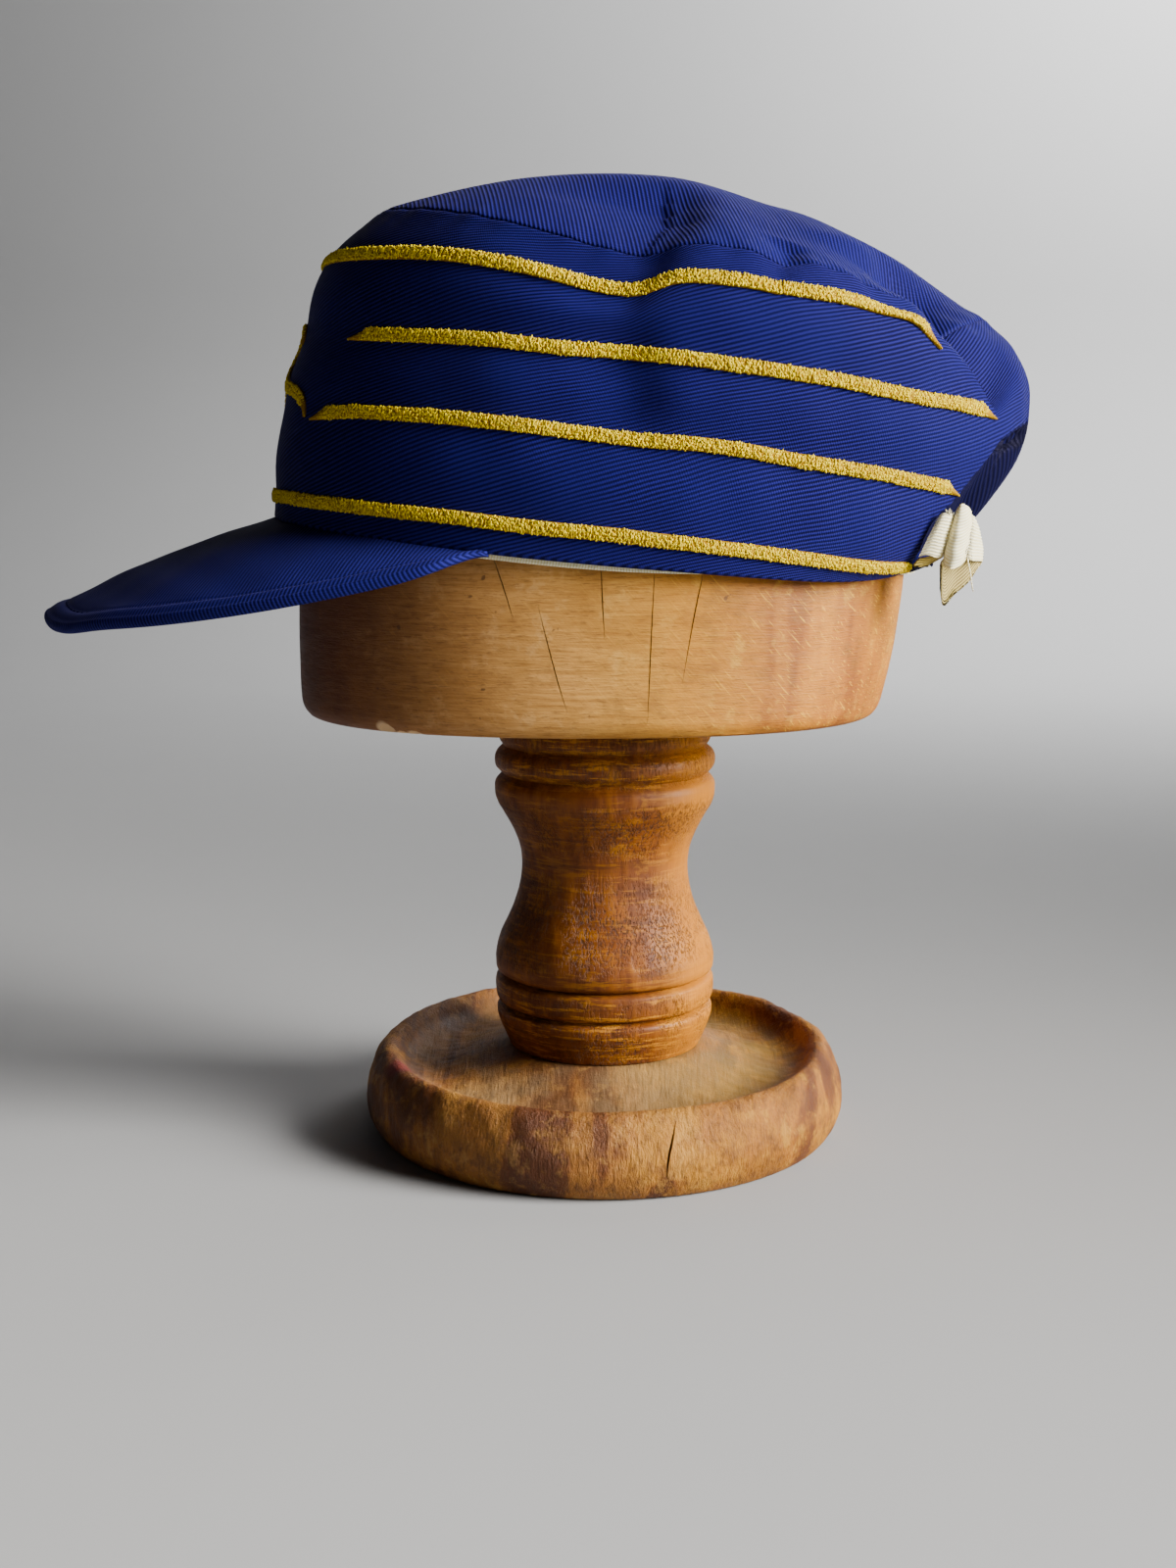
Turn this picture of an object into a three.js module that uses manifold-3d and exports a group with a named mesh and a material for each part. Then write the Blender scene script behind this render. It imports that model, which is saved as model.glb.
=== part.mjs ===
// A soft pillbox cap with raised stripes and a short peak, on its wooden hat stand.
// Millimetres, +Z up. The origin is the centre of the stand's underside, and the cap faces -X.
import * as THREE from "three";
import { mergeVertices } from "three/addons/utils/BufferGeometryUtils.js";
import Module from "manifold-3d";

const wasm = await Module();
wasm.setup();

// Driving dimensions
const cloth = 2; // wall of the crown's cloth
const gap = 0.35; // clearance between pieces that touch
const columns = 64; // facets round the crown
const stripe = { width: 5, height: 1.8, tip: 9, blunt: 0.25, shoulder: 0.55 };
const peak = {
  root: 75, side: -36, tip: -181.5, half: 89, square: 2.1,
  zTip: 174.5, zSide: 197, droop: 1.7, swell: 2.2, tuck: 1.2, thick: 3.2, stations: 29,
};
const band = { thick: 1.2, level: 1.4, reveal: 2.4 }; // the sweatband, and how far it shows below the rim
const squareness = 2.3; // of the crown's ovals, where 2 is an ellipse
const apex = { x: 10, z: 312.3, frontFullness: 2.3, rearFullness: 1.6 };
const backVent = { half: 30, foot: 184, top: 207.5, reach: 30 };
const base = { radius: 81.2, height: 28.4, warp: 0.07, facets: 42 }; // it has warped up a little on one side
const column = { foot: 28.6, top: 141.7, facets: 26 };
const block = { sides: 44, square: 2.25 };

// The crown's sections, from the rim up to the top seam: how far each reaches forward and back, its half
// width, and its height in front, at the side and behind. A stripe lies on each section between the rim
// and the seam.
const sections = [
  { at: "rim", front: -106.8, rear: 103, half: 85.5, zFront: 206.5, zSide: 193.8, zRear: 188.3 },
  { at: "rim stripe", front: -106.2, rear: 108, half: 86.5, zFront: 212.8, zSide: 201.6, zRear: 190 },
  { at: "lower stripe", front: -103.2, rear: 124, half: 87, zFront: 238.2, zSide: 228.1, zRear: 210.5 },
  { at: "upper stripe", front: -96, rear: 135.8, half: 86, zFront: 261.2, zSide: 250.6, zRear: 236.5 },
  { at: "top stripe", front: -87.8, rear: 132, half: 83, zFront: 284.5, zSide: 273.3, zRear: 256.5 },
  { at: "seam", front: -72.3, rear: 121, half: 79.5, zFront: 299, zSide: 283, zRear: 268 },
];
const top = sections.length - 1;

// Furrows in the soft cloth: each follows a line of places, fades out towards both of its ends, and sinks
// the cloth along its push, with its own reach before and behind the line.
const furrows = [
  {
    name: "crown dent",
    line: [[-4, -88, 254], [6, -80, 281], [24, -24, 306]],
    before: 34, behind: 9, fade: 18, depth: 9, push: [0, 0.3, -0.95],
  },
  {
    name: "left rear corner",
    line: [[118, -48, 236], [99, -58, 266], [84, -34, 292]],
    before: 15, behind: 15, fade: 20, depth: 12.5, push: [-0.2, 0.3, -0.93],
  },
  {
    name: "right rear corner",
    line: [[118, 48, 236], [99, 58, 266], [84, 34, 292]],
    before: 16, behind: 16, fade: 20, depth: 10, push: [-0.2, -0.3, -0.93],
  },
];

const vector = (x, y, z) => new THREE.Vector3(x, y, z);
const degrees = THREE.MathUtils.degToRad;
const power = (value, exponent) => Math.sign(value) * Math.abs(value) ** exponent;

// A place on an oval: 0 degrees is the front, 90 the wearer's left.
function onOval({ front, rear, half, zFront, zSide, zRear, square = squareness }, angle) {
  const ahead = power(Math.cos(angle), 2 / square);
  const aside = power(Math.sin(angle), 2 / square);
  const x = (front + rear) / 2 - ((rear - front) / 2) * ahead;
  const z = zSide + ((zFront - zRear) / 2) * ahead + ((zFront + zRear) / 2 - zSide) * ahead ** 2;
  return vector(x, -half * aside, z);
}

function sunk(point) {
  const moved = point.clone();
  for (const { line, before, behind, fade, depth, push } of furrows) {
    const places = line.map((place) => vector(...place));
    const whole = places.reduce((sum, place, i) => sum + (i ? place.distanceTo(places[i - 1]) : 0), 0);
    let nearest = { off: Infinity };
    let start = 0;
    for (let i = 1; i < places.length; i += 1) {
      const stretch = new THREE.Line3(places[i - 1], places[i]);
      const share = stretch.closestPointToPointParameter(point, true);
      const away = point.clone().sub(stretch.at(share, vector()));
      const run = start + share * stretch.distance();
      if (away.length() < nearest.off) nearest = { off: away.length(), ahead: away.x < 0, run };
      start += stretch.distance();
    }
    const { off, ahead, run } = nearest;
    const strength = THREE.MathUtils.smoothstep(Math.min(run, whole - run), 0, fade);
    const spread = Math.exp(-((off / (ahead ? before : behind)) ** 2));
    moved.addScaledVector(vector(...push), depth * strength * spread);
  }
  return moved;
}

// The crown's outer face: level 0 is the rim, and the last section is the seam.
function crownAt(angle, level) {
  const rib = new THREE.CatmullRomCurve3(sections.map((section) => onOval(section, angle)));
  return sunk(rib.getPoint(level / top));
}

// The domed top panel: 1 is its edge at the seam, and 0 its highest point.
function topAt(angle, share) {
  const edge = onOval(sections[top], angle);
  const ahead = (1 + Math.cos(angle)) / 2;
  const fullness = THREE.MathUtils.lerp(apex.rearFullness, apex.frontFullness, ahead);
  const z = apex.z - (apex.z - edge.z) * share ** fullness;
  return sunk(vector(THREE.MathUtils.lerp(apex.x, edge.x, share), edge.y * share, z));
}

// Place, outward normal and upward direction of a surface at an angle and a level.
function frameOn(surface, angle, level) {
  const step = 1e-3;
  const place = surface(angle, level);
  const turn = surface(angle + step, level).sub(surface(angle - step, level));
  const [above, below] = [Math.min(level + step, top), Math.max(level - step, 0)];
  const rise = surface(angle, above).sub(surface(angle, below)).normalize();
  const normal = turn.cross(rise).normalize();
  return { place, normal, rise };
}

// One closed solid through rings of points. It is either a loop, or its two ends are closed with fans.
function loft(rings, loop = false) {
  const size = rings[0].length;
  const points = rings.flat();
  const index = [];
  const spans = loop ? rings.length : rings.length - 1;
  for (let i = 0; i < spans; i += 1) {
    const next = ((i + 1) % rings.length) * size;
    for (let k = 0; k < size; k += 1) {
      const l = (k + 1) % size;
      index.push(i * size + k, i * size + l, next + l, i * size + k, next + l, next + k);
    }
  }
  if (!loop) {
    const last = (rings.length - 1) * size;
    const centre = (ring) => ring.reduce((sum, p) => sum.add(p), vector(0, 0, 0)).divideScalar(size);
    points.push(centre(rings[0]), centre(rings.at(-1)));
    for (let k = 0; k < size; k += 1) {
      const l = (k + 1) % size;
      index.push(l, k, points.length - 2, last + k, last + l, points.length - 1);
    }
  }
  return facingOut(new THREE.BufferGeometry().setFromPoints(points).setIndex(index));
}

// Shared corners merged, collapsed faces dropped, and every face turned outwards.
function facingOut(geometry) {
  geometry.deleteAttribute("normal");
  geometry.deleteAttribute("uv");
  const merged = mergeVertices(geometry, 1e-3);
  const at = merged.getAttribute("position");
  const faces = [];
  let volume = 0;
  for (let i = 0; i < merged.index.count; i += 3) {
    const [a, b, c] = [0, 1, 2].map((corner) => merged.index.getX(i + corner));
    if (a === b || b === c || c === a) continue;
    const [p, q, r] = [a, b, c].map((corner) => vector().fromBufferAttribute(at, corner));
    volume += p.dot(q.cross(r));
    faces.push([a, b, c]);
  }
  merged.setIndex(faces.flatMap(([a, b, c]) => (volume > 0 ? [a, b, c] : [a, c, b])));
  merged.computeVertexNormals();
  return merged;
}

function solid(geometry) {
  const bare = facingOut(geometry);
  const vertProperties = new Float32Array(bare.getAttribute("position").array);
  const triVerts = new Uint32Array(bare.index.array);
  return new wasm.Manifold(new wasm.Mesh({ numProp: 3, vertProperties, triVerts }));
}

function geometryOf(body) {
  const { vertProperties, triVerts } = body.getMesh();
  const geometry = new THREE.BufferGeometry();
  geometry.setAttribute("position", new THREE.BufferAttribute(vertProperties, 3));
  return facingOut(geometry.setIndex(new THREE.BufferAttribute(triVerts, 1)));
}

const angles = Array.from({ length: columns }, (_, i) => (i * 2 * Math.PI) / columns);

// At the seam the side and the top panel meet on the line that halves the angle between them.
function mitre(angle) {
  const side = frameOn(crownAt, angle, top - 0.02);
  const panel = frameOn(topAt, angle, 0.98);
  const upper = panel.normal.z > 0 ? panel.normal : panel.normal.clone().negate();
  const middle = side.normal.clone().add(upper).normalize();
  const inward = middle.clone().multiplyScalar(-cloth / middle.dot(upper));
  return { seam: crownAt(angle, top), inward, rise: side.rise };
}

function crownSide() {
  const levels = [0, 0.5, 1, 1.5, 2, 2.5, 3, 3.5, 4, 4.5];
  const ring = (angle) => {
    const frames = levels.map((level) => frameOn(crownAt, angle, level));
    const { seam, inward, rise } = mitre(angle);
    const edge = seam.clone().addScaledVector(rise, -gap / 2);
    const outer = frames.map(({ place }) => place);
    const inner = frames.map(({ place, normal }) => place.clone().addScaledVector(normal, -cloth));
    return [...outer, edge, edge.clone().add(inward), ...inner.reverse()];
  };
  const shell = loft(angles.map(ring), true);
  const { half, foot, top: height, reach } = backVent;
  const arch = new THREE.Shape();
  arch.moveTo(-half, foot);
  arch.lineTo(half, foot);
  arch.absellipse(0, foot, half, height - foot, 0, Math.PI, false);
  const settings = { depth: reach * 2, bevelEnabled: false, curveSegments: 6 };
  const cutter = new THREE.ExtrudeGeometry(arch, settings);
  cutter.applyMatrix4(new THREE.Matrix4().makeBasis(vector(0, 1, 0), vector(0, 0, 1), vector(1, 0, 0)));
  cutter.translate(sections[0].rear - reach, 0, 0);
  return geometryOf(solid(shell).subtract(solid(cutter)));
}

function crownTop() {
  const shares = [0.2, 0.45, 0.7, 0.88];
  const outward = (angle) => topAt(angle, 1).sub(topAt(angle, 0.9)).normalize();
  const outer = shares.map((share) => angles.map((angle) => topAt(angle, share)));
  const inner = outer.map((ring) => ring.map((p) => p.clone().add(vector(0, 0, -cloth))));
  const rim = angles.map((angle) => mitre(angle).seam.addScaledVector(outward(angle), -gap / 2));
  const hem = angles.map((angle, i) => rim[i].clone().add(mitre(angle).inward));
  return loft([...outer, rim, hem, ...inner.reverse()]);
}

// A raised strip along a route on the crown, given as angles and levels, narrowing towards its free tips.
function strip(route) {
  const frames = route.map(({ angle, level }) => frameOn(crownAt, angle, level));
  const along = frames.map(({ place }, i) => {
    const ahead = frames[Math.min(i + 1, frames.length - 1)].place;
    return ahead.clone().sub(frames[Math.max(i - 1, 0)].place).normalize();
  });
  const lengths = frames.map(({ place }, i) => (i ? place.distanceTo(frames[i - 1].place) : 0));
  const whole = lengths.reduce((sum, length) => sum + length, 0);
  const { shoulder } = stripe;
  const profile = [[-1, 0], [1, 0], [1, shoulder], [shoulder, 1], [-shoulder, 1], [-1, shoulder]];
  let run = 0;
  const rings = frames.map(({ place, normal }, i) => {
    run += lengths[i];
    const taper = Math.min(1, stripe.blunt + Math.min(run, whole - run) / stripe.tip);
    const across = normal.clone().cross(along[i]).normalize();
    const half = (stripe.width / 2) * taper;
    return profile.map(([side, height]) => {
      const corner = place.clone().addScaledVector(across, side * half);
      return corner.addScaledVector(normal, gap + height * stripe.height);
    });
  });
  return loft(rings);
}

function stripeRoute(level, from, to) {
  const apart = degrees(2);
  const [start, end] = [degrees(from), degrees(to)];
  const turns = angles.map((angle) => (angle > Math.PI ? angle - 2 * Math.PI : angle)).sort((a, b) => a - b);
  const between = turns.filter((angle) => angle > start + apart && angle < end - apart);
  return [start, ...between, end].map((angle) => ({ angle, level }));
}

function peakSolid() {
  const rim = sections[0];
  const rear = 2 * peak.side - peak.tip;
  const outline = { ...rim, front: peak.tip, rear, half: peak.half, square: peak.square };
  const ring = (turn) => {
    const root = onOval(rim, turn * degrees(peak.root));
    const tip = onOval(outline, (turn * Math.PI) / 2);
    const back = (tip.x - peak.tip) / (peak.side - peak.tip);
    tip.z = peak.zTip + (peak.zSide - peak.zTip) * back ** peak.droop;
    const out = tip.clone().sub(root);
    const level = out.clone().setZ(0).normalize();
    root.addScaledVector(level, -peak.tuck);
    root.z -= gap;
    const upper = [0, 0.2, 0.4, 0.6, 0.8, 0.95, 1].map((share) => {
      const p = root.clone().lerp(tip, share);
      p.z += peak.swell * Math.sin(Math.PI * share) * Math.cos((turn * Math.PI) / 2);
      return p;
    });
    const lower = upper.map((p) => p.clone().add(vector(0, 0, -peak.thick)));
    const nose = tip.clone().addScaledVector(level, peak.thick / 3).add(vector(0, 0, -peak.thick / 2));
    return [...upper, nose, ...lower.reverse()];
  };
  const turns = Array.from({ length: peak.stations }, (_, i) => (2 * i) / (peak.stations - 1) - 1);
  return loft(turns.map(ring));
}

// The band stands straight up from the rim, and leans in where the crown does.
function sweatband() {
  const inside = (angle, level, depth) => {
    const { place, normal } = frameOn(crownAt, angle, level);
    return place.addScaledVector(normal.setZ(0).normalize(), -depth);
  };
  const wall = (angle, depth) => {
    const foot = inside(angle, 0, depth);
    const head = inside(angle, band.level, depth);
    head.x = Math.sign(head.x) * Math.min(Math.abs(head.x), Math.abs(foot.x));
    head.y = Math.sign(head.y) * Math.min(Math.abs(head.y), Math.abs(foot.y));
    foot.z -= band.reveal * THREE.MathUtils.smoothstep(Math.cos(angle), -0.55, 0.1);
    return [foot, head];
  };
  const ring = (angle) => {
    const outer = wall(angle, cloth + 2 * gap);
    const inner = wall(angle, cloth + 2 * gap + band.thick);
    return [...outer, ...inner.reverse()];
  };
  return loft(angles.map(ring), true);
}

// An S scroll between the stripes in front. Its heading turns ever faster on both sides of its straight
// middle, so that it starts in a hook and ends in a volute.
const scrollShape = {
  length: 64, step: 2.6, start: { across: 41, up: -13.5 }, heading: 172, bend: -620, straight: 0.3,
};
const lozengeShape = { half: 7.5, wide: 0.7, up: -4 };
const front = { level: 2.5, degreesPerMm: 0.72, levelsPerMm: 1 / 24 };

function scroll(side) {
  const { length, step, start, heading, bend, straight } = scrollShape;
  const route = [];
  let { across, up } = start;
  for (let run = 0; run <= length; run += step) {
    const level = front.level + up * front.levelsPerMm;
    route.push({ angle: degrees(side * across * front.degreesPerMm), level });
    const turn = degrees(heading + bend * (run / length - straight) ** 2);
    across += step * Math.cos(turn);
    up += step * Math.sin(turn);
  }
  return strip(route);
}

function lozenge() {
  const { half, wide, up: middle } = lozengeShape;
  const ring = (height, scale) =>
    [[-wide, 0], [0, 1], [wide, 0], [0, -1]].map(([across, up]) => {
      const angle = degrees(across * half * scale * front.degreesPerMm);
      const level = front.level + (middle + up * half * scale) * front.levelsPerMm;
      const { place, normal } = frameOn(crownAt, angle, level);
      return place.addScaledVector(normal, height);
    });
  return loft([ring(gap + 0.2, 1), ring(gap + 1.1, 1), ring(gap + 2, 0.6)]);
}

// The tie's ribbon: each piece is a flat strip through a few stations, each with its middle, the half width
// along one edge direction, and its thickness.
function ribbon(stations, thick = 1.2) {
  const rings = stations.map(({ x, y, z, half, edge, face }) => {
    const side = vector(...edge).normalize().multiplyScalar(half);
    const out = vector(...face).normalize().multiplyScalar(thick / 2);
    const middle = vector(x, y, z);
    const corner = (a, b) => middle.clone().addScaledVector(side, a).addScaledVector(out, b);
    return [corner(-1, -1), corner(1, -1), corner(1, 1), corner(-1, 1)];
  });
  return loft(rings);
}

const wingLeft = [
  { x: 98.2, y: -55.2, z: 200.6, half: 7.4, edge: [0.42, -0.44, 1], face: [0.62, -0.72, -0.3] },
  { x: 102.2, y: -50.9, z: 200.3, half: 8.2, edge: [0.36, -0.55, 1], face: [0.64, -0.7, -0.4] },
  { x: 106.4, y: -46.4, z: 199.8, half: 8.8, edge: [0.3, -0.65, 1], face: [0.66, -0.66, -0.45] },
];
const wingRight = [
  { x: 111.6, y: -40.8, z: 199.3, half: 8.8, edge: [0.16, -0.45, 1], face: [0.7, -0.6, -0.4] },
  { x: 114.2, y: -36, z: 199.3, half: 8.7, edge: [0, -0.4, 1], face: [0.75, -0.6, -0.35] },
  { x: 116.9, y: -30.8, z: 197.9, half: 7.4, edge: [-0.16, -0.3, 1], face: [0.85, -0.5, -0.3] },
];
const tail = [
  { x: 110.5, y: -38.5, z: 189.8, half: 5.8, edge: [1, 0.2, 0.15], face: [0.2, -1, 0] },
  { x: 107.7, y: -38.5, z: 184.6, half: 3, edge: [1, 0.2, 0], face: [0.2, -1, 0] },
  { x: 105.4, y: -38.5, z: 179.5, half: 0.7, edge: [1, 0.2, 0], face: [0.2, -1, 0] },
];
const knot = { thick: 2.3, wide: 2.7, half: 10.6, lean: [0.1, -0.5, 1], at: [108.7, -45.2, 200.4] };

// The knot is one rounded fold of ribbon, leaning as the crown's side does.
function knotFold() {
  const fold = new THREE.SphereGeometry(1, 12, 7);
  const lean = new THREE.Quaternion().setFromUnitVectors(vector(0, 1, 0), vector(...knot.lean).normalize());
  const shape = new THREE.Matrix4().compose(vector(0, 0, 0), lean, vector(knot.wide, knot.half, knot.thick));
  return facingOut(fold.applyMatrix4(shape));
}

// The block's sections, from its underside to its crown.
const blockSections = [
  { z: 142, front: -95.5, rear: 86, half: 76 },
  { z: 143.5, front: -98.5, rear: 88.5, half: 79 },
  { z: 148, front: -100, rear: 91, half: 80.5 },
  { z: 188, front: -99.3, rear: 97.3, half: 80.5 },
  { z: 217, front: -97, rear: 97.5, half: 79.5 },
  { z: 247, front: -88, rear: 94, half: 74 },
  { z: 270, front: -74, rear: 80, half: 62 },
  { z: 288, front: -54, rear: 58, half: 44 },
  { z: 299, front: -30, rear: 32, half: 24 },
  { z: 302, front: -6, rear: 8, half: 6 },
];

function hatBlock() {
  const sides = Array.from({ length: block.sides }, (_, i) => (i * 2 * Math.PI) / block.sides);
  const ring = ({ z, ...oval }) =>
    sides.map((angle) => onOval({ ...oval, square: block.square, zFront: z, zSide: z, zRear: z }, angle));
  return loft(blockSections.map(ring));
}

// Turned wood: a profile of radius and height, spun about the stand's axis.
function turned(profile, facets) {
  const points = profile.map(([radius, height]) => new THREE.Vector2(radius, height));
  const geometry = new THREE.LatheGeometry(points, facets);
  geometry.rotateX(Math.PI / 2);
  return facingOut(geometry);
}

const columnProfile = [
  [0, column.foot + gap],
  [32.3, column.foot + gap],
  [33.6, 32.7], [35.8, 37.3], [36.2, 40.4], [34.9, 42.9], // foot ring and its groove
  [36.4, 45.2], [36.8, 49], [35.1, 53.1], // middle ring and its groove
  [36.5, 55.7], [36.7, 59.3], [34.8, 66.4], [30.8, 75.6], [28.3, 83.8], // bulb, and up into the waist
  [28, 89.9], [29.2, 97], [32.6, 105.2], [35.9, 111.7],
  [36.8, 115.2], [36.3, 118.7], [35, 121.2], // upper ring and its groove
  [36.6, 123.7], [36.3, 127.7], [34.9, 130.2], [36, 132.7], [36, column.top], // neck ring
  [0, column.top],
];

const baseProfile = [
  [0, 0],
  [75, 0], [77.4, 1.5], [80.2, 6.5], [base.radius, 12], [80, 18], [78.2, 23.2], [76, 26.6], // rounded edge
  [73.4, base.height], [70.4, 27], [67.6, 24], [64.4, 21.8], [59, 21.2], // crest, and down into the dish
  [48, 23.4], [38, 27], [34, column.foot], // the dish's floor rises to the column
  [0, column.foot],
];

function standBase() {
  const geometry = turned(baseProfile, base.facets);
  const at = geometry.getAttribute("position");
  for (let i = 0; i < at.count; i += 1) {
    const out = Math.hypot(at.getX(i), at.getY(i)) / base.radius;
    at.setZ(i, at.getZ(i) * (1 + base.warp * (at.getY(i) / base.radius) * out ** 2));
  }
  return geometry;
}

const finishes = {
  cloth: { color: 0x12238f, roughness: 0.85, metalness: 0 },
  stitching: { color: 0xf2b705, roughness: 0.8, metalness: 0 },
  ribbon: { color: 0xf1ead2, roughness: 0.75, metalness: 0 },
  blockWood: { color: 0xb98a55, roughness: 0.6, metalness: 0 },
  turnedWood: { color: 0x9c5420, roughness: 0.5, metalness: 0 },
};

const part = new THREE.Group();

function add(group, name, finish, geometry) {
  const mesh = new THREE.Mesh(geometry, new THREE.MeshStandardMaterial(finishes[finish]));
  mesh.name = name;
  group.add(mesh);
  return mesh;
}

const stand = new THREE.Group();
add(stand, "stand_base", "turnedWood", standBase());
add(stand, "stand_column", "turnedWood", turned(columnProfile, column.facets));
add(stand, "hat_block", "blockWood", hatBlock());
part.add(stand);

const cap = new THREE.Group();
add(cap, "crown_side", "cloth", crownSide());
add(cap, "crown_top", "cloth", crownTop());
add(cap, "peak", "cloth", peakSolid());
add(cap, "sweatband", "ribbon", sweatband());
add(cap, "stripe_rim", "stitching", strip(stripeRoute(1, -149, 149)));
add(cap, "stripe_top", "stitching", strip(stripeRoute(4, -130, 130)));
for (const [side, sign] of [["left", 1], ["right", -1]]) {
  const route = (level, from, to) => stripeRoute(level, ...[from * sign, to * sign].sort((a, b) => a - b));
  add(cap, `stripe_lower_${side}`, "stitching", strip(route(2, 32, 142.5)));
  add(cap, `stripe_upper_${side}`, "stitching", strip(route(3, 38, 141)));
  add(cap, `scroll_${side}`, "stitching", scroll(sign));
}
add(cap, "scroll_lozenge", "stitching", lozenge());
part.add(cap);

const tie = new THREE.Group();
add(tie, "tie_knot", "ribbon", knotFold()).position.set(...knot.at);
add(tie, "tie_wing_left", "ribbon", ribbon(wingLeft));
add(tie, "tie_wing_right", "ribbon", ribbon(wingRight));
add(tie, "tie_tail", "ribbon", ribbon(tail));
part.add(tie);

export default part;
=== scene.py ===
import math

import bpy
import numpy as np
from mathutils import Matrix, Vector


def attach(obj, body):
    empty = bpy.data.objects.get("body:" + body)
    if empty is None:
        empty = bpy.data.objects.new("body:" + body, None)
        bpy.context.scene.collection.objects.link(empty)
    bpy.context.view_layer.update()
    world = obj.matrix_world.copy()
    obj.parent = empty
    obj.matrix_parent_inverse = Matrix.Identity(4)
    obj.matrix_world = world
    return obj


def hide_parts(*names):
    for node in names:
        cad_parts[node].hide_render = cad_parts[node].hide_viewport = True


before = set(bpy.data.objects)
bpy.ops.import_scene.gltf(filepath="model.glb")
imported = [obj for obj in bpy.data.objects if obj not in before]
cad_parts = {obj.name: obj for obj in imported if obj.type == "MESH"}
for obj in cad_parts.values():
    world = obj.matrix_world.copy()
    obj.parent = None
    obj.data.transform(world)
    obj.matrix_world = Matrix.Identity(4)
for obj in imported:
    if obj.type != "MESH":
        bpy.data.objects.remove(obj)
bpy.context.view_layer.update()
mm = 0.001
upward = np.array([0, 0, 1])
levelOnly = np.array([1, 1, 0])
print("frame loaded")


# small sums that the shapes share

def eased(value, low, high):  # 0 below low and 1 above high
    share = np.clip((value - low) / (high - low), 0, 1)
    return share * share * (3 - 2 * share)


def bell(distance, width):
    return np.exp(-((distance / width) ** 2))


def unit(vectors):
    return vectors / np.maximum(np.linalg.norm(vectors, axis=-1, keepdims=True), 1e-9)


def runAlong(line):  # how far along the line each of its places is
    return np.concatenate([[0], np.cumsum(np.linalg.norm(np.diff(line, axis=0), axis=1))])


def rowAt(up, rows):  # the row of the flat grid, from its share up
    return np.rint(up * (len(rows) - 1)).astype(int)


def signedPower(value, exponent):
    return np.sign(value) * np.abs(value) ** exponent


def unevenness(places, length, seed):  # a soft wave of about that length, between -1 and 1
    dice = np.random.default_rng(seed)
    total = np.zeros(places.shape[:-1])
    for _ in range(5):
        heading = unit(dice.normal(size=3)) * dice.uniform(0.7, 1.4) * 2 * math.pi / length
        total += np.sin(places @ heading + dice.uniform(0, 2 * math.pi))
    return total / 3


def unevenBy(places, waves, seed):  # waves of several lengths, each by so much
    return sum(unevenness(places, length, seed + i) * by for i, (length, by) in enumerate(waves))


def curveThrough(rows, share):
    # a smooth curve through the rows, at shares counted in rows; a row may hold one place or many
    rows = np.concatenate([[2 * rows[0] - rows[1]], rows, [2 * rows[-1] - rows[-2]]])
    first = np.clip(np.floor(share).astype(int), 0, len(rows) - 4)
    within = (share - first)[..., None]

    def row(step):
        if rows.ndim == 2:
            return rows[first + step]
        index = (first + step)[None, ..., None].repeat(rows.shape[-1], -1)
        return np.take_along_axis(rows, index, axis=0)[0]

    def gap(a, b):
        return np.maximum(np.linalg.norm(b - a, axis=-1, keepdims=True) ** 0.5, 1e-4)

    a, b, c, d = row(0), row(1), row(2), row(3)
    before, here, after = gap(a, b), gap(b, c), gap(c, d)
    leaving = ((b - a) / before - (c - a) / (before + here) + (c - b) / here) * here
    arriving = ((c - b) / here - (d - b) / (here + after) + (d - c) / after) * here
    bent = -3 * b + 3 * c - 2 * leaving - arriving
    curl = 2 * b - 2 * c + leaving + arriving
    return b + leaving * within + bent * within ** 2 + curl * within ** 3


def nearestOnLine(places, line):  # distance off a line of places, how far along it, and the way to it
    line = np.asarray(line, dtype=float)
    spans = np.linalg.norm(np.diff(line, axis=0), axis=1)
    off = np.full(places.shape[:-1], np.inf)
    run = np.zeros(places.shape[:-1])
    away = np.zeros(places.shape)
    for i, span in enumerate(spans):
        stretch = line[i + 1] - line[i]
        share = np.clip((places - line[i]) @ stretch / span ** 2, 0, 1)
        here = places - (line[i] + share[..., None] * stretch)
        distance = np.linalg.norm(here, axis=-1)
        nearer = distance < off
        off = np.where(nearer, distance, off)
        run = np.where(nearer, spans[:i].sum() + share * span, run)
        away = np.where(nearer[..., None], here, away)
    return off, run, away, spans.sum()


# pieces laid from a flat grid

def tidied(piece, closed):
    bpy.ops.object.mode_set(mode="EDIT")
    bpy.ops.mesh.select_all(action="SELECT")
    bpy.ops.mesh.remove_doubles(threshold=0.002 * mm)
    if closed:
        bpy.ops.mesh.fill_holes(sides=0)
    bpy.ops.mesh.select_all(action="SELECT")
    bpy.ops.mesh.normals_make_consistent(inside=False)
    bpy.ops.object.mode_set(mode="OBJECT")
    bpy.ops.object.shade_smooth()
    return piece


def toned(piece, tone, values):  # values on the mesh that a material reads
    values = np.asarray(values, dtype=np.float32)
    piece.data.attributes.new(tone, "FLOAT", "POINT").data.foreach_set("value", values)


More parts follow.
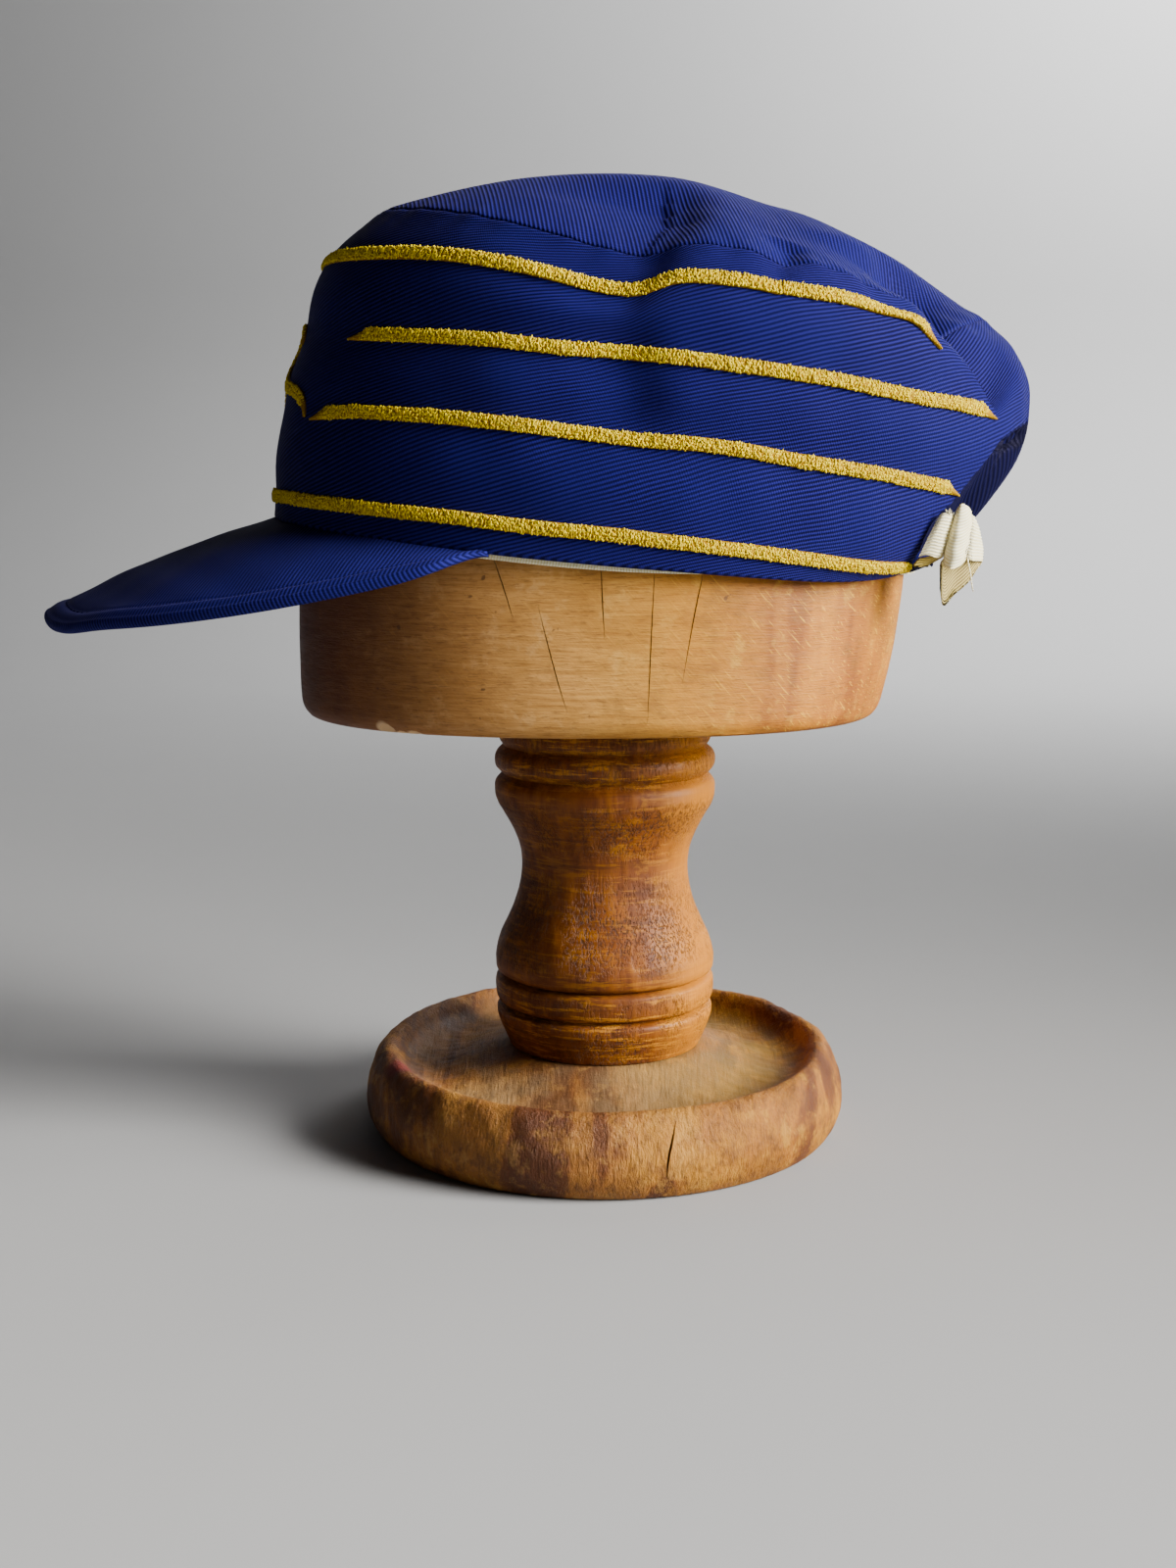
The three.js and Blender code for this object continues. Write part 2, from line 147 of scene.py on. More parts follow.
def laid(name, columns, rows, lay, closed=True):
    # lay takes shares across and up the flat grid, and gives places and the weave's own places, in mm,
    # and values for the material where there are any
    bpy.ops.object.select_all(action="DESELECT")
    bpy.ops.mesh.primitive_grid_add(x_subdivisions=columns, y_subdivisions=rows, size=1)
    piece = bpy.context.object
    piece.name = piece.data.name = name
    mesh = piece.data
    flat = np.empty(len(mesh.vertices) * 3)
    mesh.vertices.foreach_get("co", flat)
    flat = flat.reshape(-1, 3) + 0.5
    places, weave, *tones = lay(flat[:, 0], flat[:, 1])
    mesh.vertices.foreach_set("co", (places * mm).ravel())
    for tone, values in (tones[0] if tones else {}).items():
        toned(piece, tone, values)
    corners = np.empty(len(mesh.loops), dtype=int)
    mesh.loops.foreach_get("vertex_index", corners)
    mesh.uv_layers.active.data.foreach_set("uv", weave[corners].ravel())
    return tidied(piece, closed)


def solidFrom(name, corners, faces):
    mesh = bpy.data.meshes.new(name)
    mesh.from_pydata(corners, [], faces)
    piece = bpy.data.objects.new(name, mesh)
    bpy.context.collection.objects.link(piece)
    return piece


def cornersOf(piece):
    flat = np.empty(len(piece.data.vertices) * 3)
    piece.data.vertices.foreach_get("co", flat)
    return flat.reshape(-1, 3) / mm


def moveTo(piece, corners):
    piece.data.vertices.foreach_set("co", (corners * mm).ravel())
    piece.data.update()


def takenShape():  # the corners and faces of what was just added, which is taken away again
    piece = bpy.context.object
    corners = np.array([corner.co for corner in piece.data.vertices])
    faces = [list(face.vertices) for face in piece.data.polygons]
    bpy.data.objects.remove(piece)
    return corners, faces


def joined(name, parts):
    bpy.ops.object.select_all(action="DESELECT")
    for part in parts:
        part.select_set(True)
    bpy.context.view_layer.objects.active = parts[0]
    bpy.ops.object.join()
    parts[0].name = parts[0].data.name = name
    return parts[0]


def finished(piece, material, slot, *nodes):
    piece.data.materials.clear()
    piece.data.materials.append(material)
    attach(piece, "root")
    if nodes:
        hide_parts(*nodes)
    return piece


# wiring materials

class Wire:  # a socket that takes arithmetic
    def __init__(self, finish, socket):
        self.finish = finish
        self.socket = socket

    def math(self, operation, *others):
        sockets = dict(enumerate((self, *others)))
        return self.finish.node("ShaderNodeMath", {"operation": operation}, sockets)

    def __add__(self, other):
        return self.math("ADD", other)

    def __sub__(self, other):
        return self.math("SUBTRACT", other)

    def __rsub__(self, other):
        return self.finish.node("ShaderNodeMath", {"operation": "SUBTRACT"}, {0: other, 1: self})

    def __mul__(self, other):
        return self.math("MULTIPLY", other)

    __radd__ = __add__
    __rmul__ = __mul__


class Finish:  # one material, node by node
    def __init__(self, name):
        self.material = bpy.data.materials.new(name)
        self.material.use_nodes = True
        self.tree = self.material.node_tree
        self.tree.nodes.clear()

    def node(self, kind, settings=None, sockets=None, out=0):
        made = self.tree.nodes.new(kind)
        for key, value in (settings or {}).items():
            if key == "stops":
                ramp = made.color_ramp
                while len(ramp.elements) < len(value):
                    ramp.elements.new(0.5)
                for element, (place, colour) in zip(ramp.elements, value):
                    element.position = place
                    element.color = (*colour, 1)
            else:
                setattr(made, key, value)
        for key, value in (sockets or {}).items():
            if isinstance(value, Wire):
                self.tree.links.new(value.socket, made.inputs[key])
            elif isinstance(value, tuple) and len(value) == 3 and len(made.inputs[key].default_value) == 4:
                made.inputs[key].default_value = (*value, 1)
            else:
                made.inputs[key].default_value = value
        return Wire(self, made.outputs[out]) if made.outputs else made

    def place(self):
        return self.node("ShaderNodeTexCoord", out=3)

    def weave(self):
        return self.node("ShaderNodeUVMap", {"uv_map": "UVMap"})

    def split(self, vector):
        parts = self.node("ShaderNodeSeparateXYZ", sockets={0: vector})
        return [Wire(self, parts.socket.node.outputs[i]) for i in range(3)]

    def stretched(self, vector, scale, turn=(0, 0, 0)):
        if any(turn):  # turned first, stretched after
            vector = self.node("ShaderNodeMapping", {}, {"Vector": vector, "Rotation": turn})
        return self.node("ShaderNodeMapping", {}, {"Vector": vector, "Scale": scale})

    def noise(self, vector, scale, detail=3, roughness=0.55, distortion=0):
        return self.node("ShaderNodeTexNoise", {}, {
            "Vector": vector, "Scale": scale, "Detail": detail,
            "Roughness": roughness, "Distortion": distortion,
        })

    def grain(self, vector, scale, detail, roughness=0.55, distortion=0, turn=(0, 0, 0)):
        return self.noise(self.stretched(vector, scale, turn), 1.0, detail, roughness, distortion)

    def tone(self, name):  # values that the mesh holds
        return self.node("ShaderNodeAttribute", {"attribute_name": name}, out=2)

    def between(self, value, low, high, bottom=0, top=1):
        sockets = {"Value": value, "From Min": low, "From Max": high, "To Min": bottom, "To Max": top}
        return self.node("ShaderNodeMapRange", {"interpolation_type": "SMOOTHSTEP"}, sockets)

    def mix(self, factor, a, b, blend="MIX"):
        settings = {"data_type": "RGBA", "blend_type": blend}
        return self.node("ShaderNodeMix", settings, {0: factor, 6: a, 7: b}, out=2)

    def layers(self, tint, *rows):  # each lays its colour over the last by its share
        for share, colour, *blend in rows:
            tint = self.mix(share, tint, colour, *blend)
        return tint

    def offFrom(self, vector, place):  # how far off that place
        return self.node("ShaderNodeVectorMath", {"operation": "DISTANCE"}, {0: vector, 1: place}, out=1)

    def shades(self, value, *stops):
        return self.node("ShaderNodeValToRGB", {"stops": stops}, {0: value})

    def surface(self, colour, roughness, height=None, depth=0.0002, strength=1.0, **constants):
        sockets = {"Base Color": colour, "Roughness": roughness}
        for key, value in constants.items():
            sockets[key.replace("_", " ")] = value
        if height is not None:
            bump = {"Height": height, "Distance": depth, "Strength": strength}
            sockets["Normal"] = self.node("ShaderNodeBump", {}, bump)
        shader = self.node("ShaderNodeBsdfPrincipled", {}, sockets)
        self.node("ShaderNodeOutputMaterial", {}, {"Surface": shader})
        return self.material


# finishes

twill = {
    "ridge": 1.25, "yarn": 0.62, "slant": 4.2,  # how far apart ridges and yarns lie, and the yarns' lean
    "lit": (0.0096, 0.0082, 0.128), "shade": (0.0004, 0.0006, 0.020), "patch": (0.005, 0.008, 0.10),
    # the last colour on the next line is a near-black navy, painted shade for the hollow past the rear fold
    "lint": (0.14, 0.17, 0.26), "paintedFoldShade": (0.0001, 0.0005, 0.0055),
    "sheen": (0.4, 0.35, 1.0), "gloss": (0.55, 0.45, 1.0), "relief": 0.22,
}


def twillCloth(name, direction, lit=twill["lit"], shade=twill["shade"], relief=1.0):
    # ridges run at that angle across the weave's places, each a row of slanted yarns
    finish = Finish(name)
    weave = finish.weave()
    wander = finish.noise(weave, 0.02, 2)
    across = finish.stretched(weave, (1, 1, 1), (0, 0, -math.radians(direction)))
    along = finish.stretched(weave, (1, 1, 1), (0, 0, -math.radians(direction - 90)))
    ridgePlace = finish.split(across)[1] + wander * 0.9
    alongPlace = finish.split(across)[0]
    ridge = (ridgePlace * (2 * math.pi / twill["ridge"])).math("COSINE") * 0.5 + 0.5
    slant = alongPlace * (2 * math.pi / twill["yarn"]) + ridgePlace * twill["slant"]
    yarn = slant.math("COSINE") * 0.5 + 0.5
    height = ridge * 0.8 + yarn * 0.2
    fuzz = finish.noise(weave, 1.6, 4)
    patch = finish.noise(weave, 0.035, 3)
    lint = finish.between(finish.noise(weave, 0.55, 2), 0.74, 0.8)
    tint = finish.mix(finish.between(height + fuzz * 0.5 - 0.25, 0.1, 0.95), shade, lit)
    tint = finish.layers(
        tint,
        (finish.between(patch, 0.35, 0.7) * 0.22, twill["patch"]),
        (lint * 0.10, twill["lint"]),
        (finish.tone("hollow"), twill["paintedFoldShade"]),  # painted shade in the hollow past the fold
    )
    rough = finish.between(height, 0, 1, 0.78, 0.6)
    return finish.surface(
        tint, rough, height + fuzz * 0.25, twill["relief"] * mm * relief, 1.0,
        Sheen_Weight=0.03, Sheen_Roughness=0.5, Sheen_Tint=twill["sheen"],
        Specular_IOR_Level=0.1, Specular_Tint=twill["gloss"],
    )


goldShades = {
    "strands": ((0, (0.15, 0.045, 0.0)), (0.4, (0.52, 0.34, 0.0)), (1, (0.84, 0.67, 0.0))),
    "between": (0.42, 0.21, 0.0),
}


def goldThread():
    finish = Finish("gold stitching")
    strands = finish.noise(finish.place(), 2600, 2)
    tint = finish.shades(finish.tone("tone"), *goldShades["strands"])
    tint = finish.mix(finish.between(strands, 0.35, 0.65) * 0.3, tint, goldShades["between"])
    rough = finish.between(strands, 0.3, 0.7, 0.42, 0.62)
    return finish.surface(tint, rough, strands, 0.12 * mm, 0.9, Specular_IOR_Level=0.06)


ribbonShades = {
    "rib": 0.95, "threads": 0.32,  # how far apart they lie
    "low": (0.82, 0.71, 0.33), "high": (1.0, 0.95, 0.70), "stain": (0.74, 0.60, 0.24),
    "darkenedLow": (0.17, 0.105, 0.02), "darkenedHigh": (0.66, 0.48, 0.06), "sheen": (1.0, 0.95, 0.65),
}


def creamRibbon():
    finish = Finish("cream ribbon")
    weave = finish.weave()
    along, across, _ = finish.split(weave)
    ribs = across + finish.noise(weave, 0.3, 2) * 0.25
    wave = (ribs * (2 * math.pi / ribbonShades["rib"])).math("COSINE") * 0.5 + 0.5
    threads = (along * (2 * math.pi / ribbonShades["threads"])).math("COSINE") * 0.5 + 0.5
    height = wave * 0.8 + threads * 0.2
    high = finish.between(height, 0, 0.9)
    stain = finish.between(finish.noise(weave, 0.12, 3), 0.45, 0.75)
    tint = finish.layers(
        finish.mix(high, ribbonShades["low"], ribbonShades["high"]),
        (stain * 0.25, ribbonShades["stain"]),
        # darker towards brown: painted shade on the sheet inside the left wing, and a darker beige on the
        # tail
        (finish.tone("aged"), finish.mix(high, ribbonShades["darkenedLow"], ribbonShades["darkenedHigh"])),
    )
    return finish.surface(
        tint, 0.62, height, 0.16 * mm, 0.9,
        Sheen_Weight=0.3, Sheen_Roughness=0.4, Sheen_Tint=ribbonShades["sheen"], Specular_IOR_Level=0.3,
    )


def bandAt(finish, value, middle, width):  # 1 in the middle, nothing past the width
    rising = finish.between(value, middle - width, middle)
    return rising * (1 - finish.between(value, middle, middle + width))


blockShades = {
    "grain": ((0.3, (0.31, 0.138, 0.028)), (0.5, (0.45, 0.220, 0.056)), (0.72, (0.57, 0.300, 0.092))),
    "east": (0.31, 0.085, 0.001), "eastLight": (0.56, 0.22, 0.012), "eastDark": (0.15, 0.033, 0.001),
    "paintedFrontShade": (0.055, 0.010, 0.001), "stain": (0.12, 0.045, 0.010), "cloud": (0.26, 0.105, 0.016),
    "mottle": (0.19, 0.08, 0.02), "bleached": (0.66, 0.40, 0.17), "fibre": (0.11, 0.042, 0.009),
    "scratch": (0.72, 0.38, 0.07), "warmth": (0.93, 0.88, 0.07), "frontShadeMultiply": (0.56, 0.33, 0.18),
    "speck": (0.07, 0.03, 0.01), "fresh": (0.62, 0.42, 0.22), "scratchTurn": -48,
}


def blockWood():  # east is towards the back of the cap; towards its front the wood is painted dark, as painted shade and the peak's painted shadow
    finish = Finish("block wood")
    place = finish.place()
    x = finish.split(place)[0]
    grain = finish.grain(place, (70, 70, 950), 5, 0.72)
    fibre = finish.grain(place, (280, 280, 2600), 3, 0.62)
    cloud = finish.noise(place, 24, 5, 0.66)
    mottle = finish.noise(place, 85, 4, 0.7)
    patch = finish.grain(place, (70, 70, 9), 3, 0.6)
    scratch = finish.grain(place, (90, 400, 1700), 2, turn=(0, math.radians(blockShades["scratchTurn"]), 0))
    wavy = x + cloud * 0.03
    east = finish.between(wavy, 0.005, 0.08)
    # painted shade mask: 1 towards the front of the block, 0 behind its middle
    paintedFrontShade = 1 - finish.between(wavy + patch * 0.012, -0.08, 0.0)
    stain = bandAt(finish, x + cloud * 0.012, -0.066, 0.006)
    bleached = finish.between(mottle, 0.32, 0.45, 1, 0) * (1 - paintedFrontShade * 0.85)
    tint = finish.layers(
        finish.shades(grain, *blockShades["grain"]),
        (east * 0.8, blockShades["east"]),
        (finish.between(patch, 0.5, 0.66) * east * 0.55, blockShades["eastLight"]),
        (finish.between(patch, 0.36, 0.5, 1, 0) * east * 0.6, blockShades["eastDark"]),
        # painted shade: the front is painted near black, where the peak's shadow falls and the side turns
        # away from the light
        (paintedFrontShade * 0.88, blockShades["paintedFrontShade"]),
        (stain * 0.45, blockShades["stain"]),
        (finish.between(cloud, 0.44, 0.66) * (east * 0.2 + 0.45), blockShades["cloud"]),
        (finish.between(mottle, 0.52, 0.68) * 0.4, blockShades["mottle"]),
        (bleached * 0.3, blockShades["bleached"]),
        (finish.between(fibre, 0.54, 0.68) * 0.5, blockShades["fibre"]),
        (finish.between(scratch, 0.6, 0.72) * (east * 0.5 + 0.12), blockShades["scratch"]),
        (finish.between(wavy, -0.03, 0.06) * 0.85, blockShades["warmth"], "MULTIPLY"),
        # painted shade deepened by multiplying on the front
        (paintedFrontShade * 0.9, blockShades["frontShadeMultiply"], "MULTIPLY"),
        (finish.between(finish.noise(place, 330, 1), 0.76, 0.8) * 0.7, blockShades["speck"]),
    )
    for chipX, chipZ, size in block["chips"]:
        chip = Vector((chipX, nearSideOf(chipX, chipZ) + 1.2, chipZ)) * mm
        away = finish.offFrom(place, tuple(chip)) + mottle * 0.001
        fresh = 1 - finish.between(away, size * mm * 0.9, size * mm * 1.35)
        tint = finish.mix(fresh * 0.85, tint, blockShades["fresh"])
    height = grain * 0.35 + fibre * 0.5 + scratch * 0.15 + mottle * 0.3
    rough = finish.between(grain, 0.3, 0.7, 0.66, 0.52)
    return finish.surface(tint, rough, height, 0.45 * mm, 0.75, Specular_IOR_Level=0.3)


columnShades = {
    "grain": ((0.25, (0.080, 0.018, 0.0005)), (0.5, (0.155, 0.042, 0.001)), (0.8, (0.25, 0.080, 0.002))),
    "cloud": (0.052, 0.011, 0.0005), "bare": (0.38, 0.155, 0.008), "groove": (0.045, 0.010, 0.001),
    "worn": (0.42, 0.17, 0.010), "east": (0.46, 0.17, 0.002), "pit": (0.046, 0.013, 0.001),
    "wax": (1.0, 0.95, 0.4),
}


def columnWood():
    finish = Finish("column wood")
    place = finish.place()
    x, _, high = finish.split(place)
    along = finish.grain(place, (330, 330, 38), 4, 0.6)
    cloud = finish.noise(place, 38, 5, 0.66)
    bare = finish.noise(place, 95, 5, 0.7)
    lathe = finish.grain(place, (22, 22, 420), 4, 0.62)
    torn = finish.grain(place, (1500, 1500, 380), 3, 0.62)
    bulb = finish.between(high, 0.056, 0.063) * (1 - finish.between(high, 0.078, 0.094))
    throat = finish.between(high, 0.094, 0.101) * (1 - finish.between(high, 0.111, 0.116))
    rings = (1 - finish.between(high, 0.049, 0.053)) + finish.between(high, 0.119, 0.122)
    worn = finish.between(finish.grain(place, (70, 70, 800), 4, 0.7), 0.52, 0.62)
    zone = (bulb + throat * 0.9 + rings * 0.6) * finish.between(finish.noise(place, 48, 4), 0.34, 0.58)
    pits = finish.between(torn, 0.50, 0.60) * zone
    # painted light: the right side of the column is painted a brighter orange, standing in for the key
    # light from the right
    east = finish.between(x + cloud * 0.01, 0.018, 0.038)
    tint = finish.layers(
        finish.shades(along, *columnShades["grain"]),
        (finish.between(cloud, 0.45, 0.68) * 0.6, columnShades["cloud"]),
        (finish.between(bare, 0.54, 0.68) * 0.45, columnShades["bare"]),
        (finish.between(lathe, 0.52, 0.68) * 0.5, columnShades["groove"]),
        (worn * (rings * 0.5 + 0.3), columnShades["worn"]),
        (east * 0.75, columnShades["east"]),
        (pits * 0.75, columnShades["pit"]),
        (1.0, columnShades["wax"], "MULTIPLY"),
    )
    height = along * 0.25 + lathe * 0.3 - pits
    rough = finish.between(cloud, 0.35, 0.7, 0.5, 0.68)
    return finish.surface(tint, rough, height, 0.8 * mm, 0.8, Specular_IOR_Level=0.25)


baseShades = {
    "bands": ((0.40, (0.080, 0.020, 0.002)), (0.46, (0.13, 0.038, 0.004)), (0.50, (0.27, 0.100, 0.012)),
              (0.64, (0.20, 0.078, 0.008))),
    "cloud": (0.42, 0.19, 0.025), "dark": (0.09, 0.028, 0.006), "light": (0.46, 0.235, 0.055),
    "grain": (0.075, 0.026, 0.006), "dust": (0.19, 0.13, 0.065), "corner": (0.06, 0.032, 0.012),
    "scuff": (0.44, 0.23, 0.06), "redPaint": (0.12, 0.008, 0.006), "east": (1.0, 0.93, 0.16),
    "redPaintAt": (-0.066, -0.028, 0.027),
}


def baseWood():
    finish = Finish("base wood")
    place = finish.place()
    x, y, z = finish.split(place)
    bands = finish.grain(place, (62, 9, 20), 2, 0.5, 0.7)
    cloud = finish.noise(place, 34, 5, 0.66)
    grain = finish.grain(place, (760, 70, 300), 5, 0.66)
    torn = finish.grain(place, (900, 900, 260), 4, 0.7)
    rough = finish.noise(place, 160, 5, 0.75)
    out = finish.offFrom(finish.node("ShaderNodeCombineXYZ", {}, {0: x, 1: y}), (0, 0, 0))
    dish = (1 - finish.between(out, 0.062, 0.071)) * finish.between(z, 0.015, 0.02)
    dust = dish * finish.between(finish.noise(place, 21, 4), 0.32, 0.6)
    # painted shade: the dish's inner bottom edge is painted darker, more on the right, where the inner wall
    # is shaded
    corner = dish * finish.between(out, 0.050, 0.066) * finish.between(x + cloud * 0.03, -0.03, 0.05)
    scuffed = finish.between(finish.noise(place, 75, 4, 0.7), 0.56, 0.68)
    toPaint = finish.offFrom(place, baseShades["redPaintAt"]) + scuffed * 0.004
    tint = finish.layers(
        finish.shades(bands * 0.75 + cloud * 0.25, *baseShades["bands"]),
        (finish.between(cloud, 0.5, 0.66) * 0.6, baseShades["cloud"]),
        (finish.between(rough, 0.50, 0.64) * 0.5, baseShades["dark"]),
        (finish.between(rough, 0.34, 0.46, 1, 0) * 0.35, baseShades["light"]),
        (finish.between(grain, 0.5, 0.66) * 0.5, baseShades["grain"]),
        (dust * 0.62, baseShades["dust"]),
        (corner * 0.3, baseShades["corner"]),
        (scuffed * 0.4, baseShades["scuff"]),
        ((1 - finish.between(toPaint, 0.004, 0.008)) * 0.85, baseShades["redPaint"]),
        (finish.between(x + cloud * 0.03, 0.0, 0.08) * 0.9, baseShades["east"], "MULTIPLY"),
    )
    edge = finish.between(out, 0.066, 0.074)
    height = torn * (edge * 0.8 + 0.25) + cloud * 0.3 + grain * 0.5 + rough * 0.3
    gloss = finish.between(cloud, 0.3, 0.7, 0.5, 0.74)
    return finish.surface(tint, gloss, height, 0.9 * mm, 0.85, Specular_IOR_Level=0.3)


paper = {"grey": (0.33, 0.33, 0.33), "mottle": (0.25, 0.25, 0.26)}


def palePaper():
    finish = Finish("pale paper")
    mottle = finish.noise(finish.place(), 2.2, 5, 0.6)
    tint = finish.mix(finish.between(mottle, 0.3, 0.7) * 0.12, paper["grey"], paper["mottle"])
    return finish.surface(tint, 0.85, Specular_IOR_Level=0.2)


# the crown's cloth

crown = {
    # how far each section reaches forward and back, its half width, and its height in front, aside, behind
    "sections": np.array([
        (-106.8, 103.0, 85.5, 206.5, 193.8, 188.3),  # rim
        (-106.2, 108.0, 86.5, 212.8, 201.6, 190.0),  # rim stripe
        (-103.2, 124.0, 87.0, 238.2, 228.1, 210.5),  # lower stripe
        (-96.0, 135.8, 86.0, 261.2, 250.6, 236.5),  # upper stripe
        (-87.8, 132.0, 83.0, 284.5, 273.3, 256.5),  # top stripe
        (-72.3, 121.0, 79.5, 299.0, 283.0, 268.0),  # seam
    ]),
    "heights": (0, 8, 33, 58, 82, 99),  # up the cloth to each section
    "squareness": 2.3, "wall": 2.0, "seamGap": 0.2,
    "apex": {"x": 10, "z": 312.3, "frontFullness": 2.3, "rearFullness": 1.6},
    "vent": {"half": 31, "foot": 184, "top": 207.5},
    "middle": 15, "long": 115, "half": 87,  # the oval that the cloth stands out from
    "columns": 460, "outerRows": 112, "innerRows": 12, "rollRows": 4, "topRows": 60,
}
hem = {"sag": 1.5, "sagAt": 127, "sagWide": 20, "rise": 5.8, "riseAt": 161.5, "riseWide": 10}
swell = {  # how far the cloth stands out or in, where round, and at which level
    "front": 0.7, "frontWide": 45, "frontLevel": 4.2,
    "rear": 2.0, "rearFrom": (125, 165), "rearLevel": 3.9,
    "foot": 2.6, "footAt": 172, "footWide": 14, "footLevel": 1.6,
    "betweenStripes": 0.7,
}
slack = {  # how long the waves are, and how high; the front is stiffer
    "long": 46, "longBy": 0.55, "short": 17, "shortBy": 0.14, "front": 0.35, "frontTo": (40, 80),
}
closer = {"by": 2.4, "at": 156, "wide": 15}  # columns stand closer at these degrees, where the cloth folds
pucker = {"reach": 6, "fine": 0.28, "loose": 1.1, "looseAt": 262, "looseWide": 26, "joinWide": 12}
furrows = [  # each sinks the cloth along its line by its push
    {"line": [(-2, -88, 254), (3, -84, 268), (9.5, -78, 281), (18, -60, 291), (18.5, -28, 304)],
     "before": 33, "behind": (9.5, 9), "fade": 24, "depth": 6.6, "push": (0, 0.3, -0.95)},  # crown dent
    {"line": [(118, -48, 236), (99, -58, 266), (84, -34, 292)],  # left rear corner
     "before": (3, 10.5), "behind": 17, "fade": 20, "depth": 17.5,
     "push": (-0.2, 0.3, -0.93), "crisp": 1.2},
    {"line": [(118, 48, 236), (99, 58, 266), (84, 34, 292)],  # right rear corner
     "before": 16, "behind": 16, "fade": 20, "depth": 10, "push": (-0.2, -0.3, -0.93)},
    {"line": [(5, -86, 268), (5, -89, 247), (9, -89, 224)],  # the dent runs on down the side
     "before": 26, "behind": 9, "fade": 16, "depth": 2.6, "push": (0, 1, 0)},
    {"line": [(40, -10, 309), (46, -40, 300), (56, -74, 284)],  # slack behind the dent
     "before": 14, "behind": 14, "fade": 16, "depth": 1.6, "push": (0, 0, -1)},
    {"line": [(47, -89, 271), (50, -80.5, 280.5), (54, -66, 288)],  # nick in the seam
     "before": 6, "behind": 4.5, "fade": 6, "depth": 3.4, "push": (0, 0.3, -0.9)},
    {"line": [(84, -74, 262), (82, -66, 273), (76, -46, 292)],  # slack before the corner
     "before": 13, "behind": 10, "fade": 9, "depth": 4.4, "push": (0, 0.3, -0.95)},
]
fold = {  # the near cloth ends at this fold behind, at degrees round for each level, over a hollow
    "levels": (0.3, 1.18, 1.42, 1.61, 1.73, 1.85, 2.0, 2.23, 2.46, 2.6, 2.67, 2.74, 2.82, 2.9, 2.95, 3.0),
    "degrees": (146, 143.8, 141.8, 141.2, 142.4, 144, 145, 145.8,
                147.2, 148.5, 150.2, 153.6, 157.8, 163, 168, 190),
    "shelf": 14, "flap": 8, "reach": 4.5, "lip": 0.4, "lipWide": 4,
    "crease": (2.3, 2.68), "creaseDegrees": (146, 168),
    "centre": (160, 169), "dark": (169, 172.5),  # degrees over which the fold and its painted shade end
    # how strong the painted shade is on the flap, on the shelf and along the crease
    "flapPaintedShade": 0.84, "shelfPaintedShade": 0.13, "creasePaintedShade": 0.16,
    "weaveRise": 0.53, "weaveLean": 1.285, "weaveFrom": 250,
}
totalLevels = len(crown["sections"]) - 1


def onOval(row, angle, squareness=crown["squareness"]):  # 0 is the front and 90 degrees the wearer's left
    front, rear, half, zFront, zSide, zRear = row
    ahead = signedPower(np.cos(angle), 2 / squareness)
    aside = signedPower(np.sin(angle), 2 / squareness)
    x = (front + rear) / 2 - (rear - front) / 2 * ahead
    z = zSide + (zFront - zRear) / 2 * ahead + ((zFront + zRear) / 2 - zSide) * ahead ** 2
    return np.stack([x, -half * aside, z], axis=-1)


def plainCrown(angle, level):
    angle, level = np.broadcast_arrays(angle, level)
    return curveThrough(np.stack([onOval(row, angle) for row in crown["sections"]]), level)


around = np.linspace(-math.pi, math.pi, 1441)
ring = plainCrown(around, 2.5)
ringRun = runAlong(ring)
ringRun -= ringRun[-1] / 2


def arcAt(angle):  # how far round the cloth, from the middle of the front
    return np.interp((angle + math.pi) % (2 * math.pi) - math.pi, around, ringRun)


def heightAt(level):
    return np.interp(level, range(totalLevels + 1), crown["heights"])


def withFurrows(places):
    moved = places.copy()
    for furrow in furrows:
        off, run, away, whole = nearestOnLine(places, furrow["line"])
        strength = eased(np.minimum(run, whole - run), 0, furrow["fade"])
        before, behind = (
            np.interp(run / whole, (0, 1), np.broadcast_to(furrow[side], 2))
            for side in ("before", "behind")
        )
        reach = np.where(away[..., 0] < 0, before, behind)
        profile = np.exp(-((off / reach) ** furrow.get("crisp", 2)))
        moved += (furrow["depth"] * strength * profile)[..., None] * np.array(furrow["push"])
    return moved


def degreesRound(angle):  # from the middle of the front, the same on either side
    return np.abs(np.degrees((angle + math.pi) % (2 * math.pi) - math.pi))


def onFlatCloth(degrees, level):  # how far round and up the cloth
    return np.stack([np.abs(arcAt(np.radians(degrees))), heightAt(level)], axis=-1)


def pastFold(angle, level):  # degrees round, whether past the fold, and how far from it
    degrees = degreesRound(angle)
    line = onFlatCloth(np.minimum(fold["degrees"], 179.9), fold["levels"])
    off = nearestOnLine(onFlatCloth(degrees, level), line)[0]
    past = (degrees > np.interp(level, fold["levels"], fold["degrees"])) & (level < fold["levels"][-1])
    return degrees, past, off


def paintedHollowShade(angle, level):  # painted shade: 1 where the cloth past the fold is painted darkest
    degrees, past, off = pastFold(angle, level)
    crease = np.interp(degrees, fold["creaseDegrees"], fold["crease"]) + 0.03 * np.sin(degrees * 2.1)
    shelf = eased(level - crease, -0.03, 0.03)
    paintedFoldShade = fold["flapPaintedShade"] + fold["shelfPaintedShade"] * shelf + fold["creasePaintedShade"] * bell(level - crease, 0.03)
    side = 1 - eased(degrees, *fold["dark"])
    return np.where(past, np.minimum(paintedFoldShade, 1) * eased(off, 0, 0.8) * side * eased(level, 0.5, 0.9), 0)


